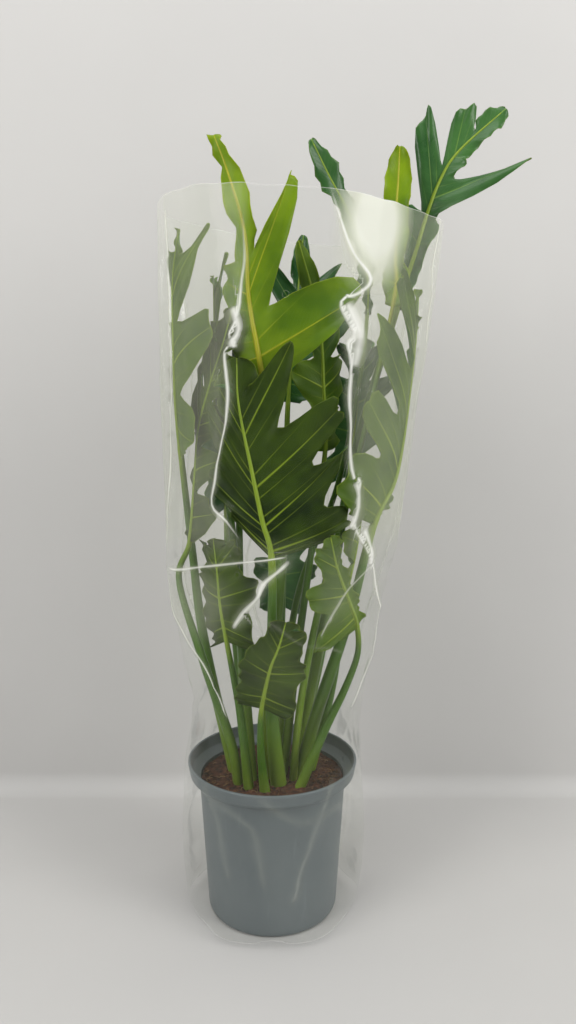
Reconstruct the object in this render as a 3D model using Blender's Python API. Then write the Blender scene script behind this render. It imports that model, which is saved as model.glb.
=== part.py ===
"""Potted philodendron selloum in a clear plant sleeve.

A nursery pot holds a block of potting soil. Nineteen leaves, each a stalk and a lobed blade grown as
one piece, stand in plain holes in the soil. A tapered film sleeve stands round pot and leaves.
Metres, +Z up, origin at the middle of the pot's underside, -Y towards the viewer of the front.
"""

import math
import random

import bmesh
import bpy
from mathutils import Vector

TOUCH_GAP = 0.0003

# Pot: a 20 cm nursery pot, turned round Z.
POT_HEIGHT = 0.181
POT_RIM_R = 0.100
POT_BODY_R = 0.0865
POT_BASE_R = 0.077
POT_WALL = 0.0014
POT_FLOOR = 0.0020
POT_SHOULDER_Z = 0.160
POT_COLLAR_Z = 0.166
POT_SIDES = 36
DRAIN_R = 0.005
DRAIN_RING_R = 0.050
DRAIN_COUNT = 6

# Soil: its rough top lies below the rim.
SOIL_TOP_Z = 0.158
SOIL_ROUGH = 0.0016
SOIL_SIDES = 30
SOIL_RINGS = (0.066, 0.044, 0.022)

# Sleeve: the clear film that stands round the pot and the leaves.
FILM_WALL = 0.0007
FILM_SIDES = 48
FILM_FOOT_Z = 0.006
FILM_TOP_Z = 0.797
FILM_TOP_SLOPE = -0.0125
FILM_PLEATS = 6
FILM_PLEAT_DEPTH = 0.005
FILM_CREASES = ((-108.0, 11.0, 0.006), (-60.0, 11.0, 0.007))
FILM_ROWS = (0.05, 0.10, 0.179, 0.225, 0.262, 0.29, 0.316, 0.37, 0.44, 0.53, 0.67)

# Height, shift of the middle along X, half width along X, half width along Y.
FILM_PROFILE = (
    (0.006, 0.000, 0.0960, 0.0960),
    (0.050, 0.000, 0.1020, 0.1020),
    (0.100, 0.000, 0.1040, 0.1040),
    (0.179, 0.000, 0.1006, 0.1006),
    (0.225, 0.002, 0.0940, 0.0930),
    (0.262, 0.006, 0.0930, 0.0915),
    (0.316, 0.0065, 0.1060, 0.1010),
    (0.370, 0.005, 0.1165, 0.1080),
    (0.440, 0.0125, 0.1280, 0.1125),
    (0.510, 0.0175, 0.1340, 0.1155),
    (0.600, 0.0215, 0.1385, 0.1180),
    (0.670, 0.0255, 0.1430, 0.1195),
    (0.800, 0.0320, 0.1510, 0.1240),
)
# The bundle of stalks is slimmer than the sleeve near the soil and fills it higher up.
BUNDLE_PROFILE = (
    (0.140, 0.000, 0.0480, 0.0480),
    (0.170, 0.000, 0.0500, 0.0500),
    (0.262, 0.005, 0.0830, 0.0830),
    (0.316, 0.006, 0.1010, 0.0980),
    (0.370, 0.006, 0.1150, 0.1060),
    (0.440, 0.012, 0.1250, 0.1100),
    (0.510, 0.017, 0.1310, 0.1130),
    (0.670, 0.025, 0.1390, 0.1170),
    (0.800, 0.031, 0.1460, 0.1210),
    (0.930, 0.038, 0.1530, 0.1250),
)

# Leaf blades and stalks.
BLADE_THICK = 0.0009
BLADE_LEVELS = (0.55, 1.0)
LOBE_PHASES = (-0.5, -0.28, -0.1, 0.1, 0.28)
TIP_PHASES = (0.0, 0.3, 0.6, 0.85, 1.0)
STALK_SIDES = 6
STALK_STEPS = 11
STALK_INTO_BLADE = 0.10
RELIEF_MOST = 0.008

# Side lobes of a plain leaf from its base to its tip, as (degrees off the rib, share of the reach).
OVAL = ((116, 0.62), (82, 0.95), (62, 1.00), (44, 0.75))
SHORT = ((110, 0.75), (74, 1.00), (48, 0.80))


def scaled(form, reach):
    return tuple((angle, share * reach) for angle, share in form)


# Each leaf: the points of its stalk, then of its midrib, as (degrees round the bundle, share of
# the bundle's half width, height), and its lobes right and left as seen from outside, as (degrees
# off the rib, length). margin is the blade left at the sinuses, tip the end lobe's half width,
# lobed the share of the rib that bears side lobes. slim makes the lobes narrower the smaller it
# is, slim_left for the left side alone, and gather crowds the side veins towards the leaf's base.
# A face of -1 turns the upper side inward.
LEAVES = {
    "leaf_front_broad": dict(
        stalk=((-72, 0.60, 0.146), (-94, 0.62, 0.25), (-94, 0.66, 0.34), (-96, 0.86, 0.437)),
        rib=((-103, 0.89, 0.479), (-110, 0.90, 0.528), (-119, 0.90, 0.595), (-121, 0.90, 0.642)),
        right=((78, 0.092), (63, 0.114), (58, 0.122), (37, 0.100)),
        left=((44, 0.063), (38, 0.084), (28, 0.108), (22, 0.070)),
        margin=0.068, tip=0.022, gather=0.7,
    ),
    "leaf_front_tall": dict(
        stalk=((-110, 0.26, 0.146), (-98, 0.36, 0.30), (-92, 0.46, 0.45), (-110, 0.70, 0.612)),
        rib=((-121, 0.74, 0.700), (-124, 0.76, 0.765), (-134, 0.80, 0.825), (-141, 0.84, 0.861)),
        right=((68, 0.125), (22, 0.125)), left=((95, 0.030), (60, 0.038)),
        margin=0.024, tip=0.013, lobed=0.49, slim=1.5, ruffle=0.005, tint="young",
    ),
    "leaf_dark_spear": dict(
        stalk=((60, 0.24, 0.146), (20, 0.20, 0.36), (-5, 0.44, 0.50), (-15, 0.56, 0.60),
               (-19, 0.60, 0.690)),
        rib=((-26, 0.58, 0.745), (-40, 0.50, 0.792), (-62, 0.46, 0.829), (-83, 0.49, 0.861)),
        right=((72, 0.016), (72, 0.015)), left=((72, 0.016), (72, 0.015)),
        margin=0.012, tip=0.012, lobed=0.56, face=1,
    ),
    "leaf_pale_tongue": dict(
        stalk=((-36, 0.60, 0.146), (-40, 0.46, 0.26), (-34, 0.52, 0.38), (-22, 0.62, 0.52),
               (-15, 0.78, 0.700)),
        rib=((-16, 0.77, 0.746), (-16, 0.74, 0.794), (-16, 0.73, 0.829), (-17, 0.72, 0.863)),
        right=((72, 0.015), (72, 0.014)), left=((72, 0.016), (72, 0.014)),
        margin=0.009, tip=0.0135, lobed=0.60, slim=1.2, free=(-0.15, -1.0, 0.10), tint="young",
    ),
    "leaf_right_fan": dict(
        stalk=((34, 0.60, 0.146), (18, 0.56, 0.36), (16, 0.62, 0.54), (7, 0.82, 0.700)),
        rib=((2, 0.90, 0.760), (0, 0.95, 0.800), (0, 1.02, 0.838), (0, 1.13, 0.868), (0, 1.42, 0.911)),
        right=((75, 0.011), (75, 0.013), (54, 0.108), (70, 0.014)),
        left=((65, 0.016), (50, 0.028), (25, 0.091), (26, 0.052)),
        margin=0.012, tip=0.0125, lobed=0.80, slim=0.9, slim_left=2.5, face=1,
        free=(-0.25, -1.0, 0.25),
    ),
    "leaf_left_edge": dict(
        stalk=((172, 0.92, 0.146), (172, 0.86, 0.32), (173, 0.86, 0.44), (182, 0.91, 0.540)),
        rib=((192, 0.95, 0.601), (195, 0.97, 0.665), (196, 0.97, 0.725), (203, 0.96, 0.775)),
        right=((85, 0.050), (58, 0.078), (42, 0.086)), left=((80, 0.030), (50, 0.045), (40, 0.045)),
        margin=0.016, tip=0.014, slim=2.2, ruffle=0.004,
    ),
    "leaf_left_low": dict(
        stalk=((210, 0.92, 0.146), (217, 0.93, 0.21), (212, 0.96, 0.316), (192, 0.97, 0.400),
               (196, 0.86, 0.446)),
        rib=((193, 0.80, 0.515), (201, 0.80, 0.569), (214, 0.80, 0.616), (224, 0.80, 0.656),
             (231, 0.80, 0.692)),
        right=((85, 0.045), (65, 0.055), (55, 0.050), (45, 0.035)),
        left=((95, 0.025), (60, 0.040), (40, 0.065), (32, 0.060)),
        margin=0.020, tip=0.016, lobed=0.80, slim=2.0,
    ),
    "leaf_left_inner": dict(
        stalk=((216, 0.58, 0.146), (222, 0.52, 0.32), (214, 0.56, 0.46), (197, 0.62, 0.569)),
        rib=((190, 0.63, 0.618), (186, 0.63, 0.678), (186, 0.64, 0.735)),
        right=((80, 0.040), (45, 0.065), (25, 0.070)), left=((80, 0.030), (40, 0.050), (25, 0.050)),
        margin=0.013, tip=0.010, slim=2.2,
    ),
    "leaf_core_left": dict(
        stalk=((170, 0.58, 0.146), (176, 0.42, 0.32), (186, 0.40, 0.46), (198, 0.46, 0.570)),
        rib=((202, 0.48, 0.630), (205, 0.48, 0.690), (206, 0.48, 0.745)),
        right=((85, 0.042), (50, 0.060), (28, 0.060)), left=((85, 0.036), (50, 0.050), (28, 0.050)),
        margin=0.013, tip=0.010, slim=2.0,
    ),
    "leaf_right_tall": dict(
        stalk=((-2, 0.60, 0.146), (-20, 0.68, 0.24), (-25, 0.80, 0.36), (-26, 0.88, 0.467)),
        rib=((-16, 0.94, 0.510), (-8, 0.96, 0.556), (-4, 0.97, 0.611), (-4, 0.97, 0.665),
             (-6, 0.95, 0.720)),
        right=((75, 0.030), (65, 0.036), (50, 0.036), (38, 0.030)),
        left=((82, 0.072), (66, 0.100), (50, 0.130), (34, 0.110)),
        margin=0.048, tip=0.015, slim=2.4, gather=0.3,
    ),
    "leaf_low_right": dict(
        stalk=((-52, 0.92, 0.146), (-32, 0.95, 0.225), (-24, 0.97, 0.275), (-22, 0.97, 0.317),
               (-28, 0.93, 0.352)),
        rib=((-42, 0.93, 0.385), (-55, 0.92, 0.425), (-62, 0.92, 0.460)),
        right=((60, 0.014), (50, 0.014), (40, 0.012)), left=((82, 0.060), (62, 0.048), (40, 0.030)),
        margin=0.026, tip=0.012,
    ),
    "leaf_low_front": dict(
        stalk=((-98, 0.94, 0.146), (-103, 0.92, 0.200), (-103, 0.92, 0.240), (-101, 0.92, 0.270)),
        rib=((-94, 0.93, 0.318), (-88, 0.93, 0.345), (-84, 0.93, 0.372)),
        right=((105, 0.042), (80, 0.042), (50, 0.032)), left=((100, 0.032), (75, 0.032), (45, 0.024)),
        margin=0.031, tip=0.016,
    ),
    "leaf_low_left": dict(
        stalk=((236, 0.92, 0.146), (232, 0.80, 0.25), (230, 0.78, 0.30), (228, 0.78, 0.340)),
        rib=((225, 0.78, 0.380), (221, 0.78, 0.420), (217, 0.78, 0.452)),
        right=scaled(SHORT, 0.050), left=scaled(SHORT, 0.052), margin=0.034, tip=0.016,
    ),
    "leaf_right_inner": dict(
        stalk=((12, 0.92, 0.146), (4, 0.80, 0.26), (-4, 0.70, 0.34), (-8, 0.68, 0.385)),
        rib=((-8, 0.69, 0.430), (-7, 0.69, 0.475), (-6, 0.69, 0.515)),
        right=scaled(SHORT, 0.040), left=scaled(SHORT, 0.040), margin=0.020, tip=0.012,
    ),
    "leaf_core_front": dict(
        stalk=((-25, 0.26, 0.146), (-40, 0.30, 0.30), (-38, 0.36, 0.44), (-36, 0.40, 0.545)),
        rib=((-48, 0.42, 0.611), (-60, 0.42, 0.684), (-90, 0.40, 0.765)),
        right=((85, 0.042), (60, 0.050), (35, 0.045)), left=((85, 0.040), (60, 0.040), (35, 0.030)),
        margin=0.016, tip=0.010, lobed=0.62,
    ),
    "leaf_back_right": dict(
        stalk=((52, 0.92, 0.146), (46, 0.86, 0.30), (44, 0.84, 0.42), (44, 0.88, 0.510)),
        rib=((43, 0.89, 0.575), (42, 0.89, 0.625), (42, 0.89, 0.675)),
        right=scaled(OVAL, 0.064), left=scaled(OVAL, 0.060), margin=0.024, tip=0.014,
    ),
    "leaf_back_high": dict(
        stalk=((80, 0.58, 0.146), (86, 0.58, 0.34), (90, 0.60, 0.48), (92, 0.68, 0.600)),
        rib=((90, 0.72, 0.675), (88, 0.74, 0.735), (86, 0.76, 0.800)),
        right=((95, 0.050), (62, 0.078), (40, 0.074)), left=((95, 0.050), (62, 0.078), (40, 0.070)),
        margin=0.016, tip=0.011, lobed=0.66, ruffle=0.0045,
    ),
    "leaf_back_left": dict(
        stalk=((130, 0.92, 0.146), (130, 0.86, 0.30), (132, 0.86, 0.40), (134, 0.88, 0.470)),
        rib=((135, 0.89, 0.540), (136, 0.89, 0.600), (136, 0.89, 0.655)),
        right=scaled(OVAL, 0.060), left=scaled(OVAL, 0.064), margin=0.024, tip=0.014,
    ),
    "leaf_back_low": dict(
        stalk=((92, 0.92, 0.146), (90, 0.86, 0.24), (88, 0.86, 0.30), (86, 0.88, 0.340)),
        rib=((86, 0.88, 0.375), (86, 0.88, 0.405), (86, 0.88, 0.435)),
        right=scaled(SHORT, 0.044), left=scaled(SHORT, 0.044), margin=0.022, tip=0.012,
    ),
}
LEAF_COLOUR = {"grown": (0.055, 0.130, 0.020), "young": (0.200, 0.300, 0.030)}


def clear_scene():
    for old in list(bpy.data.objects):
        bpy.data.objects.remove(old)


def material(name, colour, roughness, alpha=1.0):
    made = bpy.data.materials.get(name)
    if made:
        return made
    made = bpy.data.materials.new(name)
    made.use_nodes = True
    shader = made.node_tree.nodes["Principled BSDF"]
    shader.inputs["Base Color"].default_value = (*colour, 1.0)
    shader.inputs["Roughness"].default_value = roughness
    shader.inputs["Alpha"].default_value = alpha
    return made


def add_object(name, points, faces, finish, smooth_angle=40.0):
    mesh = bpy.data.meshes.new(name)
    mesh.from_pydata([tuple(p) for p in points], [], faces)
    mesh.materials.append(finish)
    mesh.shade_smooth()
    mesh.set_sharp_from_angle(angle=math.radians(smooth_angle))
    made = bpy.data.objects.new(name, mesh)
    bpy.context.scene.collection.objects.link(made)
    return made


def smooth_step(x):
    x = min(max(x, 0.0), 1.0)
    return x * x * (3 - 2 * x)


def ease(table, at):
    """The values of a table of (at, values...) rows, read between its rows."""
    if at <= table[0][0]:
        return table[0][1:]
    for low, high in zip(table, table[1:]):
        if at <= high[0]:
            share = (at - low[0]) / (high[0] - low[0])
            return tuple(a + (b - a) * share for a, b in zip(low[1:], high[1:]))
    return table[-1][1:]


def oval(profile, angle, z):
    """Middle along X, and the half width towards this angle, of a profile at height z."""
    middle, wide, deep = ease(profile, z)
    across = math.hypot(math.cos(angle) / wide, math.sin(angle) / deep)
    return middle, 1.0 / across


def bundle_point(angle, share, z):
    middle, radius = oval(BUNDLE_PROFILE, angle, z)
    return Vector(
        (middle + share * radius * math.cos(angle), share * radius * math.sin(angle), z)
    )


def bundle_place(point):
    """The angle and the share of the half width that a point has: bundle_point undone."""
    middle = ease(BUNDLE_PROFILE, point.z)[0]
    angle = math.atan2(point.y, point.x - middle)
    radius = oval(BUNDLE_PROFILE, angle, point.z)[1]
    return angle, math.hypot(point.x - middle, point.y) / radius


def curve_through(points, steps):
    """Points read at even spacing from a smooth curve through the given ones."""
    ends = [points[0] * 2 - points[1], *points, points[-1] * 2 - points[-2]]
    fine = []
    for a, b, c, d in zip(ends, ends[1:], ends[2:], ends[3:]):
        for i in range(24):
            t = i / 24
            fine.append(
                0.5 * (2 * b + (c - a) * t + (2 * a - 5 * b + 4 * c - d) * t * t
                       + (3 * b - a - 3 * c + d) * t ** 3)
            )
    fine.append(points[-1])
    along = [0.0]
    for a, b in zip(fine, fine[1:]):
        along.append(along[-1] + (b - a).length)
    made, at = [], 0
    for i in range(steps + 1):
        want = along[-1] * i / steps
        while at < len(fine) - 2 and along[at + 1] < want:
            at += 1
        share = (want - along[at]) / max(along[at + 1] - along[at], 1e-9)
        made.append(fine[at].lerp(fine[at + 1], min(share, 1.0)))
    return made


class Leaf:
    """One leaf as a formula: a point of its blade for a station along the rib and a level out."""

    PATH_STEPS = 288

    def __init__(self, name, stalk, rib, right, left, margin, tip,
                 lobed=0.86, slim=1.6, slim_left=None, gather=0.0, ruffle=0.0035, face=-1, free=None,
                 tint="grown"):
        self.name, self.lobes, self.lobed, self.gather = name, len(right), lobed, gather
        self.slim = {1: slim, -1: slim_left or slim}
        self.side_lobes = {1: right, -1: left}
        self.margin, self.tip, self.ruffle = margin, tip, ruffle
        self.face, self.tint = face, tint
        self.free = Vector(free).normalized() if free else None
        self.size = max(length for _, length in (*right, *left))
        self.wave = random.Random(name).uniform(0.0, math.tau)
        stalk = [bundle_point(math.radians(a), k, z) for a, k, z in stalk]
        rib = [bundle_point(math.radians(a), k, z) for a, k, z in rib]
        path = curve_through(stalk + rib, self.PATH_STEPS)
        join = min(range(len(path)), key=lambda i: (path[i] - stalk[-1]).length)
        self.stalk_path, self.rib_path = path[: join + 1], path[join:]

    def along(self, path, share):
        at = min(max(share, 0.0), 1.0) * (len(path) - 1)
        low = min(int(at), len(path) - 2)
        return path[low].lerp(path[low + 1], at - low)

    def heading(self, path, share):
        step = 0.03
        ahead = self.along(path, min(share + step, 1.0))
        return (ahead - self.along(path, max(share - step, 0.0))).normalized()

    def lobe_at(self, s, side):
        """Angle off the rib and full length of the lobe that bears station s, eased to the next."""
        lobes = self.side_lobes[side]
        at = min(max(s / self.lobed * self.lobes - 0.5, 0.0), self.lobes - 1.0)
        low = min(int(at), self.lobes - 2)
        (angle_a, length_a), (angle_b, length_b) = lobes[low], lobes[low + 1]
        share = smooth_step(at - low)
        return angle_a + (angle_b - angle_a) * (at - low), length_a + (length_b - length_a) * share

    def vein(self, s, side):
        """Angle of the side vein at s off the rib, and its length to the edge of the blade."""
        angle, length = self.lobe_at(s, side)
        if s < self.lobed:
            phase = (s / self.lobed * self.lobes) % 1.0 - 0.5
            sinus = (0.5 - 0.5 * math.cos(math.tau * phase)) ** self.slim[side]
            least = self.margin + (self.tip - self.margin) * smooth_step(s / self.lobed * 2 - 1)
            least = min(least, length)
            return math.radians(angle), length + (least - length) * sinus
        end = (s - self.lobed) / (1 - self.lobed)
        angle += (75 - angle) * smooth_step(end * 3)
        bulge = 1 + 0.12 * math.sin(math.pi * end)
        return math.radians(angle), self.tip * bulge * math.sqrt(max(1 - end ** 3, 0.0))

    def relief(self, s, level, side, out):
        """How far a point stands off the leaf's even sheet, towards its upper side."""
        wave = math.sin(math.tau * self.lobes * s / self.lobed + self.wave + side)
        lift = self.ruffle * level * level * wave + 1.2 * out * out
        return RELIEF_MOST * math.tanh(lift / RELIEF_MOST)

    def point(self, s, level, side):
        base = s * (1 - self.gather + self.gather * s)
        middle = self.along(self.rib_path, base)
        ahead = self.heading(self.rib_path, base)
        turn, length = self.vein(s, side)
        out = level * length
        off = self.relief(s, level, side, out)
        forth, across = out * math.cos(turn), out * math.sin(turn) * side
        if self.free:
            up = (self.free - ahead * self.free.dot(ahead)).normalized()
            return middle + forth * ahead + across * ahead.cross(up) + off * up * self.face
        angle, share = bundle_place(middle)
        round_it = Vector((-math.sin(angle), math.cos(angle), 0.0))
        right, rise = ahead.dot(round_it), ahead.z
        size = math.hypot(right, rise)
        right, rise = right / size, rise / size
        radius = max(oval(BUNDLE_PROFILE, angle, middle.z)[1] * share, 0.03)
        new_angle = angle + (forth * right + across * rise) / radius
        new_z = middle.z + forth * rise - across * right
        made = bundle_point(new_angle, share, new_z)
        outward = Vector((math.cos(new_angle), math.sin(new_angle), 0.0))
        return made + outward * (off * self.face)


def sheet_to_solid(points, triangles, thick):
    """A closed solid of even thickness about a sheet of triangles, split alike on both faces."""
    normals = [Vector() for _ in points]
    for a, b, c in triangles:
        normal = (points[b] - points[a]).cross(points[c] - points[a])
        for i in (a, b, c):
            normals[i] += normal
    normals = [n.normalized() * (thick / 2) for n in normals]
    count = len(points)
    solid = [p + n for p, n in zip(points, normals)] + [p - n for p, n in zip(points, normals)]
    faces = [(a, b, c) for a, b, c in triangles]
    faces += [(c + count, b + count, a + count) for a, b, c in triangles]
    used = {}
    for a, b, c in triangles:
        for edge in ((a, b), (b, c), (c, a)):
            used[edge] = True
    for a, b in used:
        if (b, a) not in used:
            faces += [(b, a, a + count), (b, a + count, b + count)]
    return solid, faces


def blade_stations(leaf):
    """Where along the rib the blade is sampled: five places a lobe, then the tip."""
    stations = []
    for lobe in range(leaf.lobes):
        stations += [(lobe + 0.5 + p) / leaf.lobes * leaf.lobed for p in LOBE_PHASES]
    return stations + [leaf.lobed + (1 - leaf.lobed) * t for t in TIP_PHASES]


def blade_sheet(leaf):
    """The blade's mid-surface: points and triangles whose normals face its upper side."""
    stations = blade_stations(leaf)
    points = [leaf.point(s, 0.0, 1) for s in stations]
    index = {(j, 0, side): j for j in range(len(stations)) for side in (1, -1)}
    for side in (1, -1):
        for j, s in enumerate(stations):
            for i, level in enumerate(BLADE_LEVELS, start=1):
                if side < 0 and j == len(stations) - 1:
                    index[j, i, side] = index[j, i, 1]
                    continue
                index[j, i, side] = len(points)
                points.append(leaf.point(s, level, side))
    triangles = []
    up = 1 if leaf.free else leaf.face
    for side in (1, -1):
        for j in range(len(stations) - 1):
            for i in range(len(BLADE_LEVELS)):
                a, b = index[j, i, side], index[j + 1, i, side]
                c, d = index[j + 1, i + 1, side], index[j, i + 1, side]
                cells = [(a, b, c), (a, c, d)]
                if side * up > 0:
                    cells = [tuple(reversed(t)) for t in cells]
                triangles += cells
    return points, triangles


def stalk_tube(leaf, base_r, neck_r, end_r, grow=0.0):
    """The stalk as a closed tube from its foot in the soil to a little way under the blade."""
    into = [leaf.along(leaf.rib_path, STALK_INTO_BLADE * t) for t in (0.5, 1.0)]
    path = [leaf.along(leaf.stalk_path, i / STALK_STEPS) for i in range(STALK_STEPS + 1)] + into
    points = []
    ref = Vector((0.0, 1.0, 0.0))
    for i, centre in enumerate(path):
        share = min(i / STALK_STEPS, 1.0)
        radius = base_r + (neck_r - base_r) * share ** 1.1
        if i > STALK_STEPS:
            radius = neck_r + (end_r - neck_r) * (i - STALK_STEPS) / 2
        ahead = (path[min(i + 1, len(path) - 1)] - path[max(i - 1, 0)]).normalized()
        across = (ref - ahead * ref.dot(ahead)).normalized()
        upward = ahead.cross(across)
        for j in range(STALK_SIDES):
            turn = math.tau * j / STALK_SIDES
            points.append(centre + (radius + grow) * (across * math.cos(turn) + upward * math.sin(turn)))
    return points, tube_faces(len(path), STALK_SIDES)


def tube_faces(rings, sides):
    faces = [tuple(reversed(range(sides)))]
    for i in range(rings - 1):
        for j in range(sides):
            a, b = i * sides + j, i * sides + (j + 1) % sides
            faces.append((a, b, b + sides, a + sides))
    faces.append(tuple((rings - 1) * sides + j for j in range(sides)))
    return faces


def boolean(target, tool, operation):
    """Joins or cuts target with tool, applies it and removes the tool."""
    change = target.modifiers.new("join", "BOOLEAN")
    change.operation, change.solver, change.object = operation, "EXACT", tool
    bpy.context.view_layer.update()
    made = bpy.data.meshes.new_from_object(
        target.evaluated_get(bpy.context.evaluated_depsgraph_get())
    )
    target.modifiers.clear()
    target.data = made
    bpy.data.objects.remove(tool)


def stalk_size(leaf):
    """Foot and neck radius of a stalk: the bigger the blade, the stouter."""
    return 0.0045 + 0.033 * leaf.size, 0.0018 + 0.018 * leaf.size


def build_leaf(leaf):
    finish = material("leaf_" + leaf.tint, LEAF_COLOUR[leaf.tint], 0.45)
    points, triangles = blade_sheet(leaf)
    solid, faces = sheet_to_solid(points, triangles, BLADE_THICK)
    blade = add_object(leaf.name, solid, faces, finish)
    foot_r, neck_r = stalk_size(leaf)
    points, faces = stalk_tube(leaf, foot_r, neck_r, 0.0011)
    stalk = add_object("stalk", points, faces, finish)
    boolean(blade, stalk, "UNION")
    blade.data.shade_smooth()
    blade.data.set_sharp_from_angle(angle=math.radians(50))
    return blade


def turned(name, profile, sides, finish):
    """A closed solid turned round Z from a profile of (radius, height), from axis to axis."""
    points, rings = [], []
    for radius, z in profile:
        if radius == 0:
            rings.append([len(points)])
            points.append(Vector((0, 0, z)))
            continue
        rings.append(list(range(len(points), len(points) + sides)))
        for j in range(sides):
            turn = math.tau * j / sides
            points.append(Vector((radius * math.cos(turn), radius * math.sin(turn), z)))
    faces = []
    for low, high in zip(rings, rings[1:]):
        for j in range(sides):
            k = (j + 1) % sides
            if len(low) == 1:
                faces.append((low[0], high[k], high[j]))
            elif len(high) == 1:
                faces.append((low[j], low[k], high[0]))
            else:
                faces.append((low[j], low[k], high[k], high[j]))
    return add_object(name, points, faces, finish, 35.0)


def build_pot():
    """Outside from the underside's middle up to the rim, then the inside back down."""
    slope = (POT_BODY_R - POT_BASE_R) / POT_SHOULDER_Z
    profile = [
        (0.0, 0.0),
        (POT_BASE_R - 0.004, 0.0),
        (POT_BASE_R, 0.004),
        (POT_BODY_R, POT_SHOULDER_Z),
        (POT_RIM_R - 0.0025, POT_COLLAR_Z),
        (POT_RIM_R - 0.0008, POT_HEIGHT - 0.003),
        (POT_RIM_R, POT_HEIGHT - 0.0018),
        (POT_RIM_R - 0.0004, POT_HEIGHT),
        (POT_RIM_R - 0.0022, POT_HEIGHT),
        (POT_RIM_R - 0.0025 - POT_WALL, POT_COLLAR_Z + 0.001),
        (POT_BODY_R - POT_WALL, POT_SHOULDER_Z + 0.001),
        (POT_BASE_R - POT_WALL + slope * 0.004, 0.005),
        (POT_BASE_R - POT_WALL - 0.003, POT_FLOOR),
        (0.0, POT_FLOOR),
    ]
    pot = turned("pot", profile, POT_SIDES, material("pot_plastic", (0.19, 0.235, 0.25), 0.5))
    for i in range(DRAIN_COUNT):
        turn = math.tau * (i + 0.5) / DRAIN_COUNT
        hole = turned(
            "drain",
            [(0, -0.01), (DRAIN_R, -0.01), (DRAIN_R, 0.0035), (0, 0.0035)],
            12,
            pot.data.materials[0],
        )
        hole.location = (DRAIN_RING_R * math.cos(turn), DRAIN_RING_R * math.sin(turn), 0)
        boolean(pot, hole, "DIFFERENCE")
    return pot


def build_soil(leaves):
    """The soil block, rough on top, with a hole for each stalk."""
    slope = (POT_BODY_R - POT_BASE_R) / POT_SHOULDER_Z
    inner = POT_WALL + TOUCH_GAP + 0.0002
    floor_z = POT_FLOOR + TOUCH_GAP
    edge_z = SOIL_TOP_Z - 0.002
    edge_r = POT_BASE_R + slope * edge_z - inner
    profile = [(0.0, floor_z), (POT_BASE_R - inner - 0.004, floor_z)]
    profile += [(POT_BASE_R - inner + slope * 0.006, 0.007), (edge_r, edge_z)]
    profile += [(r, SOIL_TOP_Z) for r in SOIL_RINGS] + [(0.0, SOIL_TOP_Z)]
    soil = turned("soil", profile, SOIL_SIDES, material("potting_soil", (0.045, 0.022, 0.014), 0.95))
    draw = random.Random(2)
    for v in soil.data.vertices:
        if v.co.z > SOIL_TOP_Z - 0.0005:
            v.co.z += draw.uniform(-SOIL_ROUGH, SOIL_ROUGH)
    for leaf in leaves:
        foot_r, neck_r = stalk_size(leaf)
        points, faces = stalk_tube(leaf, foot_r, neck_r, 0.0011, grow=0.0005)
        keep = 5 * STALK_SIDES
        points = points[:keep]
        drop = (points[STALK_SIDES] - points[0]).normalized() * 0.0005
        points[:STALK_SIDES] = [p - drop for p in points[:STALK_SIDES]]
        hole = add_object("hole", points, tube_faces(5, STALK_SIDES), soil.data.materials[0])
        boolean(soil, hole, "DIFFERENCE")
    return soil


def film_radius(angle, z):
    """Inner half width of the film: an oval with soft pleats and two sharp front creases."""
    middle, radius = oval(FILM_PROFILE, angle, z)
    pleat = (0.5 + 0.5 * math.cos(FILM_PLEATS * angle + 9.0 * z)) ** 1.5
    radius += FILM_PLEAT_DEPTH * pleat
    above = smooth_step((z - 0.25) / 0.12)
    for at, width, height in FILM_CREASES:
        away = abs((math.degrees(angle) - at + 180) % 360 - 180)
        radius += above * height * max(0.0, 1 - away / width)
    return middle, radius


def build_sleeve():
    """The film as one thin closed wall, open above and below, with a sloping top edge."""
    rows = (FILM_FOOT_Z, *FILM_ROWS, None)
    points = []
    for wall in (FILM_WALL, 0.0):
        for z in rows:
            for j in range(FILM_SIDES):
                angle = math.tau * j / FILM_SIDES
                height = z
                if z is None:
                    height = FILM_TOP_Z + FILM_TOP_SLOPE * math.cos(angle)
                middle, radius = film_radius(angle, height)
                radius += wall
                points.append(Vector((middle + radius * math.cos(angle), radius * math.sin(angle), height)))
    faces = []
    layer = len(rows) * FILM_SIDES
    for j in range(FILM_SIDES):
        k = (j + 1) % FILM_SIDES
        for i in range(len(rows) - 1):
            a, b = i * FILM_SIDES + j, i * FILM_SIDES + k
            c, d = b + FILM_SIDES, a + FILM_SIDES
            faces += [(a, b, c), (a, c, d)]
            faces += [(c + layer, b + layer, a + layer), (d + layer, c + layer, a + layer)]
        top = (len(rows) - 1) * FILM_SIDES
        faces += [(j, j + layer, k + layer), (j, k + layer, k)]
        faces += [(top + j, top + k, top + k + layer), (top + j, top + k + layer, top + j + layer)]
    return add_object("sleeve", points, faces, material("clear_film", (0.9, 0.92, 0.92), 0.08, 0.2), 25.0)


def main():
    clear_scene()
    leaves = [Leaf(name, **facts) for name, facts in LEAVES.items()]
    for leaf in leaves:
        build_leaf(leaf)
    build_pot()
    build_soil(leaves)
    build_sleeve()


main()
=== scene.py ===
# %% [markdown]
# # A potted selloum in its clear sleeve
# The plant is a bunch of deeply lobed leaves on long stalks, rooted in a grey nursery pot and held
# upright by a tapered film sleeve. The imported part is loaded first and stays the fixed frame: each
# piece made below keeps the place and form of the solid that it stands for, and adds what a solid
# of few faces leaves out, such as veins, waved edges, crumb and crinkles.

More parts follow.
